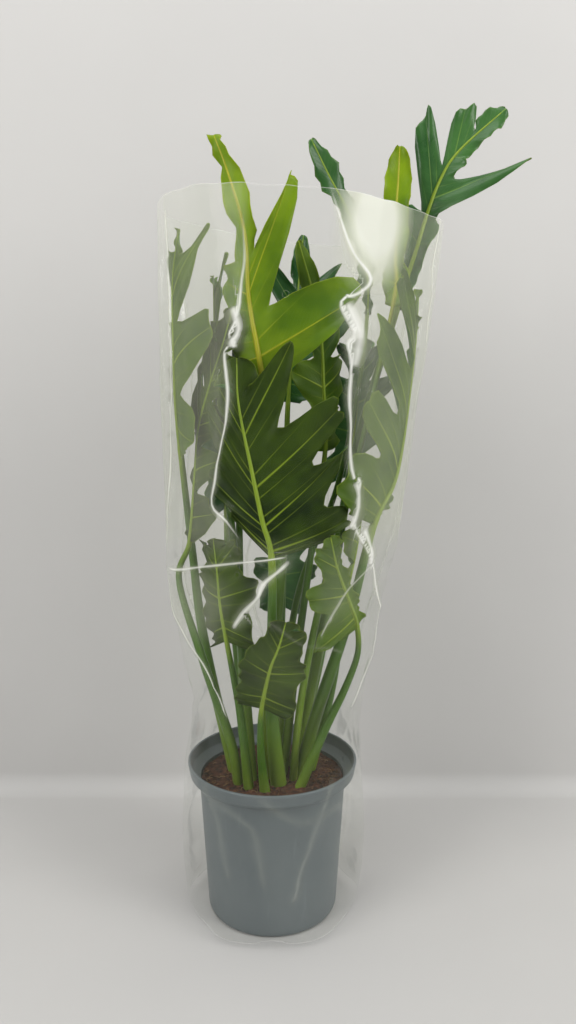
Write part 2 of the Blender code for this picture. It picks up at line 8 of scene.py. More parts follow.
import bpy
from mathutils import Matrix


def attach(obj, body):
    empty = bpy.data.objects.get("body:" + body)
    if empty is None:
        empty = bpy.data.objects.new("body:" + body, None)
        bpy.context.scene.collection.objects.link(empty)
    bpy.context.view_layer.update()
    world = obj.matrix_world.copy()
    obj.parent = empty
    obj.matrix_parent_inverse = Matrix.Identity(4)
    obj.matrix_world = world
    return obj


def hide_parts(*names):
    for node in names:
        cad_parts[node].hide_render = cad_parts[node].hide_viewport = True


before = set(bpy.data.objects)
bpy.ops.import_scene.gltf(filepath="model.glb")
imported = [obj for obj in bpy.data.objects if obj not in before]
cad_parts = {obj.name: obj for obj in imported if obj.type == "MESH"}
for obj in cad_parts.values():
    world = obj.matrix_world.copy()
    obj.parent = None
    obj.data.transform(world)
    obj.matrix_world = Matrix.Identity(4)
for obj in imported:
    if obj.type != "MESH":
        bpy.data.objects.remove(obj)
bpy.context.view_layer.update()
print("nodes:", len(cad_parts))

# %% Modules
import math
import random

import bpy
import numpy as np
from mathutils import Matrix, Vector, noise

# %% [markdown]
# ## The camera and the studio
# The photograph is taken from a little above the middle of the plant, close enough that the pot is
# seen from above and the top leaves from below. The camera's place and lens were worked out
# together with the pot's size. The floor runs up into the wall in a small cove.

# %% Camera
CAMERA_AT = Vector((0.0187, -0.887, 0.591))
CAMERA_PITCH = math.radians(90 - 7.49)
CAMERA_LENS = 27.47

camera = bpy.data.objects.new("camera", bpy.data.cameras.new("camera"))
camera.location = CAMERA_AT
camera.rotation_euler = (CAMERA_PITCH, 0, 0)
camera.data.lens = CAMERA_LENS
camera.data.sensor_width = 36
camera.data.clip_start = 0.01
bpy.context.scene.collection.objects.link(camera)
bpy.context.scene.camera = camera
print("camera lens", CAMERA_LENS)

# %% [markdown]
# ## Shader sums as plain expressions
# A finish is a tree of nodes. One small class wraps a socket, so that a sum of masks reads as it
# would on paper and adds its Math nodes by itself. Any other node comes from its one method.


# %% The socket class
class Wire:
    """What a node puts out. + - * / and the powers on it add Math nodes."""

    def __init__(self, tree, socket=None):
        self.tree, self.socket = tree, socket

    def node(self, kind, settings=None, sockets=None, out=0):
        made = self.tree.nodes.new(kind)
        for name, value in (settings or {}).items():
            setattr(made, name, value)
        for name, value in (sockets or {}).items():
            if isinstance(value, Wire):
                self.tree.links.new(value.socket, made.inputs[name])
            else:
                made.inputs[name].default_value = value
        return Wire(self.tree, made.outputs[out])

    def math(self, operation, *values):
        return self.node("ShaderNodeMath", {"operation": operation}, dict(enumerate(values)))

    def __add__(self, other):
        return self.math("ADD", self, other)

    def __sub__(self, other):
        return self.math("SUBTRACT", self, other)

    def __rsub__(self, other):
        return self.math("SUBTRACT", other, self)

    def __mul__(self, other):
        return self.math("MULTIPLY", self, other)

    def __truediv__(self, other):
        return self.math("DIVIDE", self, other)

    def __pow__(self, other):
        return self.math("POWER", self, other)

    __radd__ = __add__
    __rmul__ = __mul__

    def clamp(self):
        return self.node("ShaderNodeClamp", None, {0: self})

    def ramp(self, low, high, first=0.0, last=1.0):
        """Runs from first to last while this value runs from low to high, and stops there."""
        return self.node("ShaderNodeMapRange", None, {0: self, 1: low, 2: high, 3: first, 4: last})


# %% Small shader helpers
def new_finish(name, even=None):
    """A material, its Principled shader with the sockets that are even all over, and the place."""
    made = bpy.data.materials.new(name)
    made.use_nodes = True
    shader = made.node_tree.nodes["Principled BSDF"]
    for socket, value in (even or {}).items():
        shader.inputs[socket].default_value = value
    return made, shader, Wire(made.node_tree).node("ShaderNodeTexCoord", out="Object")


def feed(shader, name, wire):
    wire.tree.links.new(wire.socket, shader.inputs[name])


def blend_colour(factor, first, second):
    """Mixes two colours, each a wire or three numbers."""
    sides = [c if isinstance(c, Wire) else (*c, 1) for c in (first, second)]
    sockets = {0: factor, 6: sides[0], 7: sides[1]}
    return factor.node("ShaderNodeMix", {"data_type": "RGBA"}, sockets, 2)


def mix_shaders(factor, first, second):
    return first.node("ShaderNodeMixShader", None, {0: factor, 1: first, 2: second})


def show(surface):
    """Makes a shader the one that its material shows."""
    surface.tree.links.new(surface.socket, surface.tree.nodes["Material Output"].inputs[0])


def speckle(place, scale, detail=4, rough=0.6):
    """Cloudy noise between 0 and 1 over a place."""
    sockets = {"Vector": place, "Scale": scale, "Detail": detail, "Roughness": rough}
    return place.node("ShaderNodeTexNoise", None, sockets)


def stretched(place, along_z):
    """The place with its heights scaled, so that noise over it runs up and down."""
    return place.node("ShaderNodeMapping", None, {"Vector": place, "Scale": (1, 1, along_z)})


def uv_pair(wire, name):
    """The two numbers of a named UV map, as wires on the same tree."""
    found = wire.node("ShaderNodeUVMap", {"uv_map": name})
    split = found.node("ShaderNodeSeparateXYZ", None, {0: found})
    return split, Wire(split.tree, split.socket.node.outputs[1])


def bump(shader, height, strength, distance):
    sockets = {"Height": height, "Strength": strength, "Distance": distance}
    feed(shader, "Normal", height.node("ShaderNodeBump", None, sockets))


print("shader helpers ready")

# %% [markdown]
# ## Where the leaves stand
# A bunch in a sleeve fills it in layers: the outer leaves lie close to the film and the inner ones
# curl round the middle. So each point is given by its angle round the bundle, its share of the
# bundle's half width and its height. The profiles below are the widths of the bundle and the film
# at each height, and a leaf that keeps to its share can't cut through a leaf of another layer.

# %% The two profiles
def metres(rows):
    return [tuple(value / 1000 for value in row) for row in rows]


# In mm: height, shift of the middle along X, half width along X, half width along Y.
FILM_PROFILE = metres((
    (6, 0, 96, 96),
    (50, 0, 102, 102),
    (100, 0, 104, 104),
    (179, 0, 100.6, 100.6),
    (225, 2, 94, 93),
    (262, 6, 93, 91.5),
    (316, 6.5, 106, 101),
    (370, 5, 116.5, 108),
    (440, 12.5, 128, 112.5),
    (510, 17.5, 134, 115.5),
    (600, 21.5, 138.5, 118),
    (670, 25.5, 143, 119.5),
    (800, 32, 151, 124),
))
# The bundle of stalks is slimmer than the sleeve near the soil and fills it higher up.
BUNDLE_PROFILE = metres((
    (140, 0, 48, 48),
    (170, 0, 50, 50),
    (262, 5, 83, 83),
    (316, 6, 101, 98),
    (370, 6, 115, 106),
    (440, 12, 125, 110),
    (510, 17, 131, 113),
    (670, 25, 139, 117),
    (800, 31, 146, 121),
    (930, 38, 153, 125),
))
print("profile rows:", len(FILM_PROFILE), len(BUNDLE_PROFILE))


# %% Reading a profile
def smooth_step(x):
    x = min(max(x, 0.0), 1.0)
    return x * x * (3 - 2 * x)


def ease(table, at):
    """The values of a table of (at, values...) rows, read between its rows."""
    if at <= table[0][0]:
        return table[0][1:]
    for low, high in zip(table, table[1:]):
        if at <= high[0]:
            share = (at - low[0]) / (high[0] - low[0])
            return tuple(a + (b - a) * share for a, b in zip(low[1:], high[1:]))
    return table[-1][1:]


def oval(profile, angle, z):
    """Middle along X, and the half width towards this angle, of a profile at height z."""
    middle, wide, deep = ease(profile, z)
    across = math.hypot(math.cos(angle) / wide, math.sin(angle) / deep)
    return middle, 1.0 / across


def bundle_point(angle, share, z):
    middle, radius = oval(BUNDLE_PROFILE, angle, z)
    return Vector((middle + share * radius * math.cos(angle), share * radius * math.sin(angle), z))


def bundle_place(point):
    """The angle and the share of the half width that a point has: bundle_point undone."""
    middle = ease(BUNDLE_PROFILE, point.z)[0]
    angle = math.atan2(point.y, point.x - middle)
    radius = oval(BUNDLE_PROFILE, angle, point.z)[1]
    return angle, math.hypot(point.x - middle, point.y) / radius


def spline(points, parts):
    """A smooth curve from the second point to the last but one, with parts steps to a span."""
    fine = []
    for a, b, c, d in zip(points, points[1:], points[2:], points[3:]):
        for t in (i / parts for i in range(parts)):
            fine.append(
                0.5 * (2 * b + (c - a) * t + (2 * a - 5 * b + 4 * c - d) * t * t
                       + (3 * b - a - 3 * c + d) * t ** 3)
            )
    return [*fine, points[-2]]


def curve_through(points, steps):
    """Points read at even spacing from a smooth curve through the given ones."""
    fine = spline([points[0] * 2 - points[1], *points, points[-1] * 2 - points[-2]], 24)
    along = [0.0]
    for a, b in zip(fine, fine[1:]):
        along.append(along[-1] + (b - a).length)
    made, at = [], 0
    for i in range(steps + 1):
        want = along[-1] * i / steps
        while at < len(fine) - 2 and along[at + 1] < want:
            at += 1
        share = (want - along[at]) / max(along[at + 1] - along[at], 1e-9)
        made.append(fine[at].lerp(fine[at + 1], min(share, 1.0)))
    return made


# %% [markdown]
# ## The leaves, one by one
# Every leaf grows from the soil as one stalk that runs on as the midrib. A leaf is written down as
# the points of both and the length and slant of its lobes, as seen from outside. The large front
# leaf shows its dull underside. The tall one above it is young and yellow-green.

# %% The table of leaves
# Side lobes of a plain leaf from its base to its tip, as (degrees off the rib, share of the reach).
OVAL = ((116, 0.62), (82, 0.95), (62, 1.00), (44, 0.75))
SHORT = ((110, 0.75), (74, 1.00), (48, 0.80))


def scaled(form, reach):
    return tuple((angle, share * reach) for angle, share in form)


# Each leaf: the points of its stalk, then of its midrib, as (degrees round the bundle, per cent of
# the bundle's half width, height in mm), and its lobes right and left as seen from outside, as
# (degrees off the rib, length in mm). margin is the blade left at the sinuses and tip the end
# lobe's half width, in mm, and lobed the share of the rib that bears side lobes. slim makes the
# lobes narrower the smaller it is, slim_left for the left side alone, and gather crowds the side
# veins towards the leaf's base. free is the way that a blade faces which leaves the bundle. A face
# of -1 turns the upper side inward.
LEAVES = {
    "front_broad": dict(
        stalk=((-72, 60, 146), (-94, 62, 250), (-94, 66, 340), (-96, 86, 437)),
        rib=((-103, 89, 479), (-110, 90, 528), (-119, 90, 595), (-121, 90, 642)),
        right=((78, 92), (63, 114), (58, 122), (37, 100)),
        left=((44, 63), (38, 84), (28, 108), (22, 70)), margin=68, tip=22, gather=0.7,
    ),
    "front_tall": dict(
        stalk=((-110, 26, 146), (-98, 36, 300), (-92, 46, 450), (-110, 70, 612)),
        rib=((-121, 74, 700), (-124, 76, 765), (-134, 80, 825), (-141, 84, 861)),
        right=((68, 125), (22, 125)), left=((95, 30), (60, 38)), margin=24, tip=13, lobed=0.49,
        slim=1.5, ruffle=5, tint="young",
    ),
    "dark_spear": dict(
        stalk=((60, 24, 146), (20, 20, 360), (-5, 44, 500), (-15, 56, 600), (-19, 60, 690)),
        rib=((-26, 58, 745), (-40, 50, 792), (-62, 46, 829), (-83, 49, 861)),
        right=((72, 16), (72, 15)), left=((72, 16), (72, 15)), margin=12, tip=12, lobed=0.56,
        face=1,
    ),
    "pale_tongue": dict(
        stalk=((-36, 60, 146), (-40, 46, 260), (-34, 52, 380), (-22, 62, 520), (-15, 78, 700)),
        rib=((-16, 77, 746), (-16, 74, 794), (-16, 73, 829), (-17, 72, 863)),
        right=((72, 15), (72, 14)), left=((72, 16), (72, 14)), margin=9, tip=13.5, lobed=0.6,
        slim=1.2, free=(-0.15, -1.0, 0.10), tint="young",
    ),
    "right_fan": dict(
        stalk=((34, 60, 146), (18, 56, 360), (16, 62, 540), (7, 82, 700)),
        rib=((2, 90, 760), (0, 95, 800), (0, 102, 838), (0, 113, 868), (0, 142, 911)),
        right=((75, 11), (75, 13), (54, 108), (70, 14)),
        left=((65, 16), (50, 28), (25, 91), (26, 52)), margin=12, tip=12.5, lobed=0.8, slim=0.9,
        slim_left=2.5, face=1, free=(-0.25, -1.0, 0.25),
    ),
    "left_edge": dict(
        stalk=((172, 92, 146), (172, 86, 320), (173, 86, 440), (182, 91, 540)),
        rib=((192, 95, 601), (195, 97, 665), (196, 97, 725), (203, 96, 775)),
        right=((85, 50), (58, 78), (42, 86)), left=((80, 30), (50, 45), (40, 45)), margin=16,
        tip=14, slim=2.2, ruffle=4,
    ),
    "left_low": dict(
        stalk=((210, 92, 146), (217, 93, 210), (212, 96, 316), (192, 97, 400), (196, 86, 446)),
        rib=((193, 80, 515), (201, 80, 569), (214, 80, 616), (224, 80, 656), (231, 80, 692)),
        right=((85, 45), (65, 55), (55, 50), (45, 35)),
        left=((95, 25), (60, 40), (40, 65), (32, 60)), margin=20, tip=16, lobed=0.8, slim=2.0,
    ),
    "left_inner": dict(
        stalk=((216, 58, 146), (222, 52, 320), (214, 56, 460), (197, 62, 569)),
        rib=((190, 63, 618), (186, 63, 678), (186, 64, 735)), right=((80, 40), (45, 65), (25, 70)),
        left=((80, 30), (40, 50), (25, 50)), margin=13, tip=10, slim=2.2,
    ),
    "core_left": dict(
        stalk=((170, 58, 146), (176, 42, 320), (186, 40, 460), (198, 46, 570)),
        rib=((202, 48, 630), (205, 48, 690), (206, 48, 745)), right=((85, 42), (50, 60), (28, 60)),
        left=((85, 36), (50, 50), (28, 50)), margin=13, tip=10, slim=2.0,
    ),
    "right_tall": dict(
        stalk=((-2, 60, 146), (-20, 68, 240), (-25, 80, 360), (-26, 88, 467)),
        rib=((-16, 94, 510), (-8, 96, 556), (-4, 97, 611), (-4, 97, 665), (-6, 95, 720)),
        right=((75, 30), (65, 36), (50, 36), (38, 30)),
        left=((82, 72), (66, 100), (50, 130), (34, 110)), margin=48, tip=15, slim=2.4, gather=0.3,
    ),
    "low_right": dict(
        stalk=((-52, 92, 146), (-32, 95, 225), (-24, 97, 275), (-22, 97, 317), (-28, 93, 352)),
        rib=((-42, 93, 385), (-55, 92, 425), (-62, 92, 460)), right=((60, 14), (50, 14), (40, 12)),
        left=((82, 60), (62, 48), (40, 30)), margin=26, tip=12,
    ),
    "low_front": dict(
        stalk=((-98, 94, 146), (-103, 92, 200), (-103, 92, 240), (-101, 92, 270)),
        rib=((-94, 93, 318), (-88, 93, 345), (-84, 93, 372)),
        right=((105, 42), (80, 42), (50, 32)), left=((100, 32), (75, 32), (45, 24)), margin=31,
        tip=16,
    ),
    "low_left": dict(
        stalk=((236, 92, 146), (232, 80, 250), (230, 78, 300), (228, 78, 340)),
        rib=((225, 78, 380), (221, 78, 420), (217, 78, 452)), right=scaled(SHORT, 50),
        left=scaled(SHORT, 52), margin=34, tip=16,
    ),
    "right_inner": dict(
        stalk=((12, 92, 146), (4, 80, 260), (-4, 70, 340), (-8, 68, 385)),
        rib=((-8, 69, 430), (-7, 69, 475), (-6, 69, 515)), right=scaled(SHORT, 40),
        left=scaled(SHORT, 40), margin=20, tip=12,
    ),
    "core_front": dict(
        stalk=((-25, 26, 146), (-40, 30, 300), (-38, 36, 440), (-36, 40, 545)),
        rib=((-48, 42, 611), (-60, 42, 684), (-90, 40, 765)), right=((85, 42), (60, 50), (35, 45)),
        left=((85, 40), (60, 40), (35, 30)), margin=16, tip=10, lobed=0.62,
    ),
    "back_right": dict(
        stalk=((52, 92, 146), (46, 86, 300), (44, 84, 420), (44, 88, 510)),
        rib=((43, 89, 575), (42, 89, 625), (42, 89, 675)), right=scaled(OVAL, 64),
        left=scaled(OVAL, 60), margin=24, tip=14,
    ),
    "back_high": dict(
        stalk=((80, 58, 146), (86, 58, 340), (90, 60, 480), (92, 68, 600)),
        rib=((90, 72, 675), (88, 74, 735), (86, 76, 800)), right=((95, 50), (62, 78), (40, 74)),
        left=((95, 50), (62, 78), (40, 70)), margin=16, tip=11, lobed=0.66, ruffle=4.5,
    ),
    "back_left": dict(
        stalk=((130, 92, 146), (130, 86, 300), (132, 86, 400), (134, 88, 470)),
        rib=((135, 89, 540), (136, 89, 600), (136, 89, 655)), right=scaled(OVAL, 60),
        left=scaled(OVAL, 64), margin=24, tip=14,
    ),
    "back_low": dict(
        stalk=((92, 92, 146), (90, 86, 240), (88, 86, 300), (86, 88, 340)),
        rib=((86, 88, 375), (86, 88, 405), (86, 88, 435)), right=scaled(SHORT, 44),
        left=scaled(SHORT, 44), margin=22, tip=12,
    ),
}
print("leaves:", len(LEAVES))

# %% [markdown]
# ## The form of a blade
# A blade is a sheet that is measured by two numbers: how far along the midrib a side vein starts,
# and how far out along that vein a point lies. The length of the side veins rises and falls along
# the rib, which cuts the lobes. Each point is then bent round the bundle. On top of that come the
# fine things: the blade puffs up between its veins, sinks along them, and its edge ripples.

# %% Sizes of the blade's relief
RELIEF_MOST = 0.008
BLADE_THICK = 0.0006
QUILT_LIFT = 0.0017
QUILT_REACH = 0.010
RIB_SINK = 0.0008
RIB_WIDTH = 0.0024
EDGE_RIPPLE = 0.0026
EDGE_NOTCH = 0.045
EDGE_NOTCHES = 2.6
CUPPING = 1.2
TIGHTEST_BEND = 0.03
TIP_SLANT = 75
TIP_BULGE = 0.12


# %% One leaf as a formula
class Leaf:
    """A point of the blade for a station along the rib and a level out along its side vein."""

    PATH_STEPS = 288

    def __init__(self, name, stalk, rib, right, left, margin, tip, lobed=0.86, slim=1.6,
                 slim_left=None, gather=0.0, ruffle=3.5, face=-1, free=None, tint="grown"):
        self.name, self.lobes, self.lobed, self.gather = name, len(right), lobed, gather
        self.slim = {1: slim, -1: slim_left or slim}
        right, left = ([(a, length / 1000) for a, length in lobes] for lobes in (right, left))
        self.side_lobes = {1: right, -1: left}
        self.margin, self.tip, self.ruffle = margin / 1000, tip / 1000, ruffle / 1000
        self.face, self.tint = face, tint
        self.free = Vector(free).normalized() if free else None
        self.size = max(length for _, length in (*right, *left))
        self.wave = random.Random(name).uniform(0.0, math.tau)
        stalk, rib = (
            [bundle_point(math.radians(a), k / 100, z / 1000) for a, k, z in spots]
            for spots in (stalk, rib)
        )
        path = curve_through(stalk + rib, self.PATH_STEPS)
        join = min(range(len(path)), key=lambda i: (path[i] - stalk[-1]).length)
        self.stalk_path, self.rib_path = path[: join + 1], path[join:]
        self.rib_length = sum((b - a).length for a, b in zip(self.rib_path, self.rib_path[1:]))

    def along(self, path, share):
        at = min(max(share, 0.0), 1.0) * (len(path) - 1)
        low = min(int(at), len(path) - 2)
        return path[low].lerp(path[low + 1], at - low)

    def heading(self, path, share):
        step = 0.03
        ahead = self.along(path, min(share + step, 1.0))
        return (ahead - self.along(path, max(share - step, 0.0))).normalized()

    def lobe_at(self, s, side):
        """Angle off the rib and full length of the lobe that bears station s, eased to the next."""
        lobes = self.side_lobes[side]
        at = min(max(s / self.lobed * self.lobes - 0.5, 0.0), self.lobes - 1.0)
        low = min(int(at), self.lobes - 2)
        (angle_a, length_a), (angle_b, length_b) = lobes[low], lobes[low + 1]
        share = smooth_step(at - low)
        return angle_a + (angle_b - angle_a) * (at - low), length_a + (length_b - length_a) * share

    def vein(self, s, side):
        """Angle of the side vein at s off the rib, and its length to the edge of the blade."""
        angle, length = self.lobe_at(s, side)
        turn = math.tau * EDGE_NOTCHES * s / self.lobed * self.lobes
        notch = 1 + EDGE_NOTCH * math.sin(turn + self.wave * 3)
        if s < self.lobed:
            phase = (s / self.lobed * self.lobes) % 1.0 - 0.5
            sinus = (0.5 - 0.5 * math.cos(math.tau * phase)) ** self.slim[side]
            least = self.margin + (self.tip - self.margin) * smooth_step(s / self.lobed * 2 - 1)
            least = min(least, length)
            return math.radians(angle), (length + (least - length) * sinus) * notch
        end = (s - self.lobed) / (1 - self.lobed)
        angle += (TIP_SLANT - angle) * smooth_step(end * 3)
        bulge = 1 + TIP_BULGE * math.sin(math.pi * end)
        return math.radians(angle), self.tip * bulge * notch * math.sqrt(max(1 - end ** 3, 0.0))

    def relief(self, s, level, side, out):
        """How far a point stands off the leaf's even sheet, towards its upper side."""
        wave = math.sin(math.tau * self.lobes * s / self.lobed + self.wave + side)
        lift = self.ruffle * level * level * wave + CUPPING * out * out
        ripple = math.sin(math.tau * 3 * self.lobes * s / self.lobed + self.wave * 2 + side * 2)
        return RELIEF_MOST * math.tanh(lift / RELIEF_MOST) + EDGE_RIPPLE * level ** 4 * ripple

    def point(self, s, level, side, puff=0.0):
        base = s * (1 - self.gather + self.gather * s)
        middle = self.along(self.rib_path, base)
        ahead = self.heading(self.rib_path, base)
        turn, length = self.vein(s, side)
        out = level * length
        off = self.relief(s, level, side, out) + puff
        forth, across = out * math.cos(turn), out * math.sin(turn) * side
        if self.free:
            up = (self.free - ahead * self.free.dot(ahead)).normalized()
            return middle + forth * ahead + across * ahead.cross(up) + off * up * self.face
        angle, share = bundle_place(middle)
        round_it = Vector((-math.sin(angle), math.cos(angle), 0.0))
        right, rise = ahead.dot(round_it), ahead.z
        size = math.hypot(right, rise)
        right, rise = right / size, rise / size
        radius = max(oval(BUNDLE_PROFILE, angle, middle.z)[1] * share, TIGHTEST_BEND)
        new_angle = angle + (forth * right + across * rise) / radius
        new_z = middle.z + forth * rise - across * right
        made = bundle_point(new_angle, share, new_z)
        outward = Vector((math.cos(new_angle), math.sin(new_angle), 0.0))
        return made + outward * (off * self.face)


# %% Where a blade is sampled
LOBE_FINE = (-0.5, -0.42, -0.34, -0.26, -0.18, -0.11, -0.06, -0.025, 0.0,
             0.025, 0.06, 0.11, 0.18, 0.26, 0.34, 0.42)
BRANCH_PHASES = (-0.26, 0.26)
BRANCH_LIFT = 0.003
NO_VEIN = 0.06
TIP_FINE = (0.0, 0.08, 0.17, 0.27, 0.37, 0.47, 0.57, 0.67, 0.76, 0.84, 0.91, 0.96, 0.99)
LEVELS_FINE = (0.0, 0.02, 0.05, 0.09, 0.14, 0.20, 0.27, 0.35, 0.43, 0.51, 0.59, 0.67, 0.75, 0.82,
               0.88, 0.93, 0.97, 1.0)


def stations_of(leaf):
    """Stations along the rib, each with the station of the side vein that it belongs to."""
    found = []
    for lobe in range(leaf.lobes):
        vein = (lobe + 0.5) / leaf.lobes * leaf.lobed
        for phase in LOBE_FINE:
            found.append((vein + phase / leaf.lobes * leaf.lobed, vein))
    return found + [(leaf.lobed + (1 - leaf.lobed) * t, None) for t in TIP_FINE]


# %% The blade as a sheet
def blade_sheet(leaf):
    """Points row by row, and for each the numbers that its finish is drawn from."""
    columns = [(-1, q) for q in reversed(LEVELS_FINE[1:])] + [(1, q) for q in LEVELS_FINE]
    points, veins, place, fine, branch = [], [], [], [], []
    for s, vein in stations_of(leaf):
        for side, q in columns:
            flat = leaf.point(s, q, side)
            length = leaf.vein(s, side)[1]
            out = q * length
            near, second = NO_VEIN, NO_VEIN
            if vein is not None:
                near = (flat - leaf.point(vein, q, side)).length
                second = min(
                    (flat - leaf.point(vein + p / leaf.lobes * leaf.lobed, q, side)).length
                    for p in BRANCH_PHASES
                )
            rib_reach = out * math.sin(leaf.vein(s, side)[0])
            nearest = min(near, rib_reach, second + BRANCH_LIFT)
            puff = QUILT_LIFT * (1 - math.exp(-((nearest / QUILT_REACH) ** 2))) * (1 - q ** 6)
            puff -= RIB_SINK * math.exp(-((rib_reach / RIB_WIDTH) ** 2)) * (1 - s)
            points.append(leaf.point(s, q, side, puff))
            veins.append((rib_reach, near))
            place.append((s, q))
            along = s * leaf.rib_length - 1.1 * out if vein is None else out - 1.1 * near
            fine.append((along, (1 - q) * length))
            branch.append((second, length))
    maps = (("veins", veins), ("place", place), ("fine", fine), ("branch", branch))
    return points, len(columns), maps


def add_uv(mesh, name, values):
    """A UV map that gives each corner its point's two numbers."""
    corners = np.empty(len(mesh.loops), np.int32)
    mesh.loops.foreach_get("vertex_index", corners)
    layer = mesh.uv_layers.new(name=name)
    layer.uv.foreach_set("vector", np.array(values, np.float32)[corners].ravel())


def quads(rows, wide, first=0, closed=True):
    """Corners of the faces between rows of points; a closed row joins its end to its start."""
    for r in range(rows - 1):
        for c in range(wide if closed else wide - 1):
            a, b = first + r * wide + c, first + r * wide + (c + 1) % wide
            yield a, b, b + wide, a + wide


def link_mesh(name, points, faces):
    mesh = bpy.data.meshes.new(name)
    mesh.from_pydata([tuple(p) for p in points], [], faces)
    mesh.shade_smooth()
    made = bpy.data.objects.new(name, mesh)
    bpy.context.scene.collection.objects.link(made)
    return made


def applied(obj):
    """The object with its modifiers worked into its mesh."""
    graph = bpy.context.evaluated_depsgraph_get()
    mesh = bpy.data.meshes.new_from_object(obj.evaluated_get(graph))
    obj.modifiers.clear()
    obj.data = mesh
    return obj


def join_onto(first, *others):
    """Makes the other objects a part of the first."""
    with bpy.context.temp_override(
        active_object=first, selected_editable_objects=[first, *others]
    ):
        bpy.ops.object.join()


def make_blade(leaf):
    points, wide, maps = blade_sheet(leaf)
    faces = quads(len(points) // wide, wide, closed=False)
    faces = [face if leaf.face > 0 else face[::-1] for face in faces]
    blade = link_mesh(leaf.name + "_blade", points, faces)
    for name, values in maps:
        add_uv(blade.data, name, values)
    thick = blade.modifiers.new("thick", "SOLIDIFY")
    thick.thickness, thick.offset = BLADE_THICK, 0
    thick.material_offset, thick.material_offset_rim = 1, 1
    return blade


# %% [markdown]
# ## The stalks
# A stalk is stout and a little flattened where it leaves the soil and slims down towards the blade,
# where it runs on as the midrib to the leaf's very end. It is one tube along the same smooth path.

# %% The stalk as a tube
STALK_SIDES = 16
STALK_RINGS = 64
RIB_RINGS = 44
FOOT_FLAT = 1.18
RIB_SLIM = 0.62
ON_AXIS = 0.004


def stalk_size(leaf):
    """Foot and neck radius of a stalk: the bigger the blade, the stouter."""
    return 0.0045 + 0.033 * leaf.size, 0.0018 + 0.018 * leaf.size


def make_stalk(leaf):
    foot, neck = stalk_size(leaf)
    centres = [leaf.along(leaf.stalk_path, i / STALK_RINGS) for i in range(STALK_RINGS)]
    sizes = [foot + (neck - foot) * (i / STALK_RINGS) ** 1.1 for i in range(STALK_RINGS)]
    marks = [i / STALK_RINGS for i in range(STALK_RINGS)]
    for i in range(RIB_RINGS):
        share = i / (RIB_RINGS - 1) * 0.97
        centres.append(leaf.along(leaf.rib_path, share))
        slim = RIB_SLIM * neck * (1 - share) ** 0.8 + 0.0005
        sizes.append(slim + (neck - slim) * max(0.0, 1 - share / 0.06) ** 2)
        marks.append(1 + share)
    points, place = [], []
    reference = Vector((0.0, 1.0, 0.0))
    for i, centre in enumerate(centres):
        ahead = (centres[min(i + 1, len(centres) - 1)] - centres[max(i - 1, 0)]).normalized()
        outward = Vector((centre.x, centre.y, 0.0))
        flush = (outward - ahead * outward.dot(ahead)).normalized()
        outward = flush if outward.length > ON_AXIS else reference
        across = ahead.cross(outward).normalized()
        flat = 1 + (FOOT_FLAT - 1) * max(0.0, 1 - marks[i] * 2.5)
        lean = 0.25 * sizes[i] * (-leaf.face) if marks[i] > 1 and not leaf.free else 0.0
        for j in range(STALK_SIDES):
            turn = math.tau * j / STALK_SIDES
            side_step = across * (math.cos(turn) * sizes[i] * flat)
            up_step = outward * (math.sin(turn) * sizes[i] / flat + lean)
            points.append(centre + side_step + up_step)
            place.append((marks[i], j / STALK_SIDES))
    faces = [tuple(range(STALK_SIDES))]
    faces += [(b, a, d, c) for a, b, c, d in quads(len(centres), STALK_SIDES)]
    faces.append(tuple((len(centres) - 1) * STALK_SIDES + j for j in reversed(range(STALK_SIDES))))
    stalk = link_mesh(leaf.name + "_stalk", points, faces)
    for name in ("veins", "place", "fine", "branch"):
        add_uv(stalk.data, name, place)
    for face in stalk.data.polygons:
        face.material_index = 2
    return stalk


# %% [markdown]
# ## Leaf finishes
# The upper side is a waxy deep green that mirrors the sky in broad bluish patches. The underside is
# duller and greyer, with raised pale veins. Light passes through the blade, so each side mixes in a
# little translucence. The veins are drawn from the blade's own measures: distance from the rib and
# from the nearest side vein, so they keep their width however long the lobe is.

# %% Vein masks
SIDE_VEIN = 0.0007
FINE_SPACING = 0.0062
NET_SHARE = 0.05
# The reaches of a blade between which its veins grow from fine to full width.
REACHES = (0.015, 0.065)


def line_mask(distance, half_width):
    """1 on a line and 0 beyond its soft edge."""
    return (1 - distance / half_width).clamp()


def vein_masks(place):
    """Masks of the midrib, the side veins and the fine net, and the distance from the edge."""
    from_rib, from_vein = uv_pair(place, "veins")
    s, q = uv_pair(place, "place")
    along, edge = uv_pair(place, "fine")
    from_branch, reach = uv_pair(place, "branch")
    rib = line_mask(from_rib, 0.0034 - s * 0.0026)
    size = reach.ramp(*REACHES, 0.45, 1.15)
    rib = rib * reach.ramp(*REACHES, 0.70, 1.0)
    side = line_mask(from_vein, size * ((1.05 - q) * 2 * SIDE_VEIN + 0.00025)) * (1 - q * 0.35)
    branch = line_mask(from_branch, size * ((1.0 - q) * SIDE_VEIN + 0.0004)) * (1 - q * 0.7) * 0.5
    side = side.math("MAXIMUM", side, branch)
    wobble = speckle(place, 60, 2) * 0.0016
    turns = (along + wobble) / FINE_SPACING
    saw = turns.math("PINGPONG", turns, 0.5)
    net = line_mask(saw, 0.085) * (1 - q * q * 0.6)
    return rib, side, net, edge


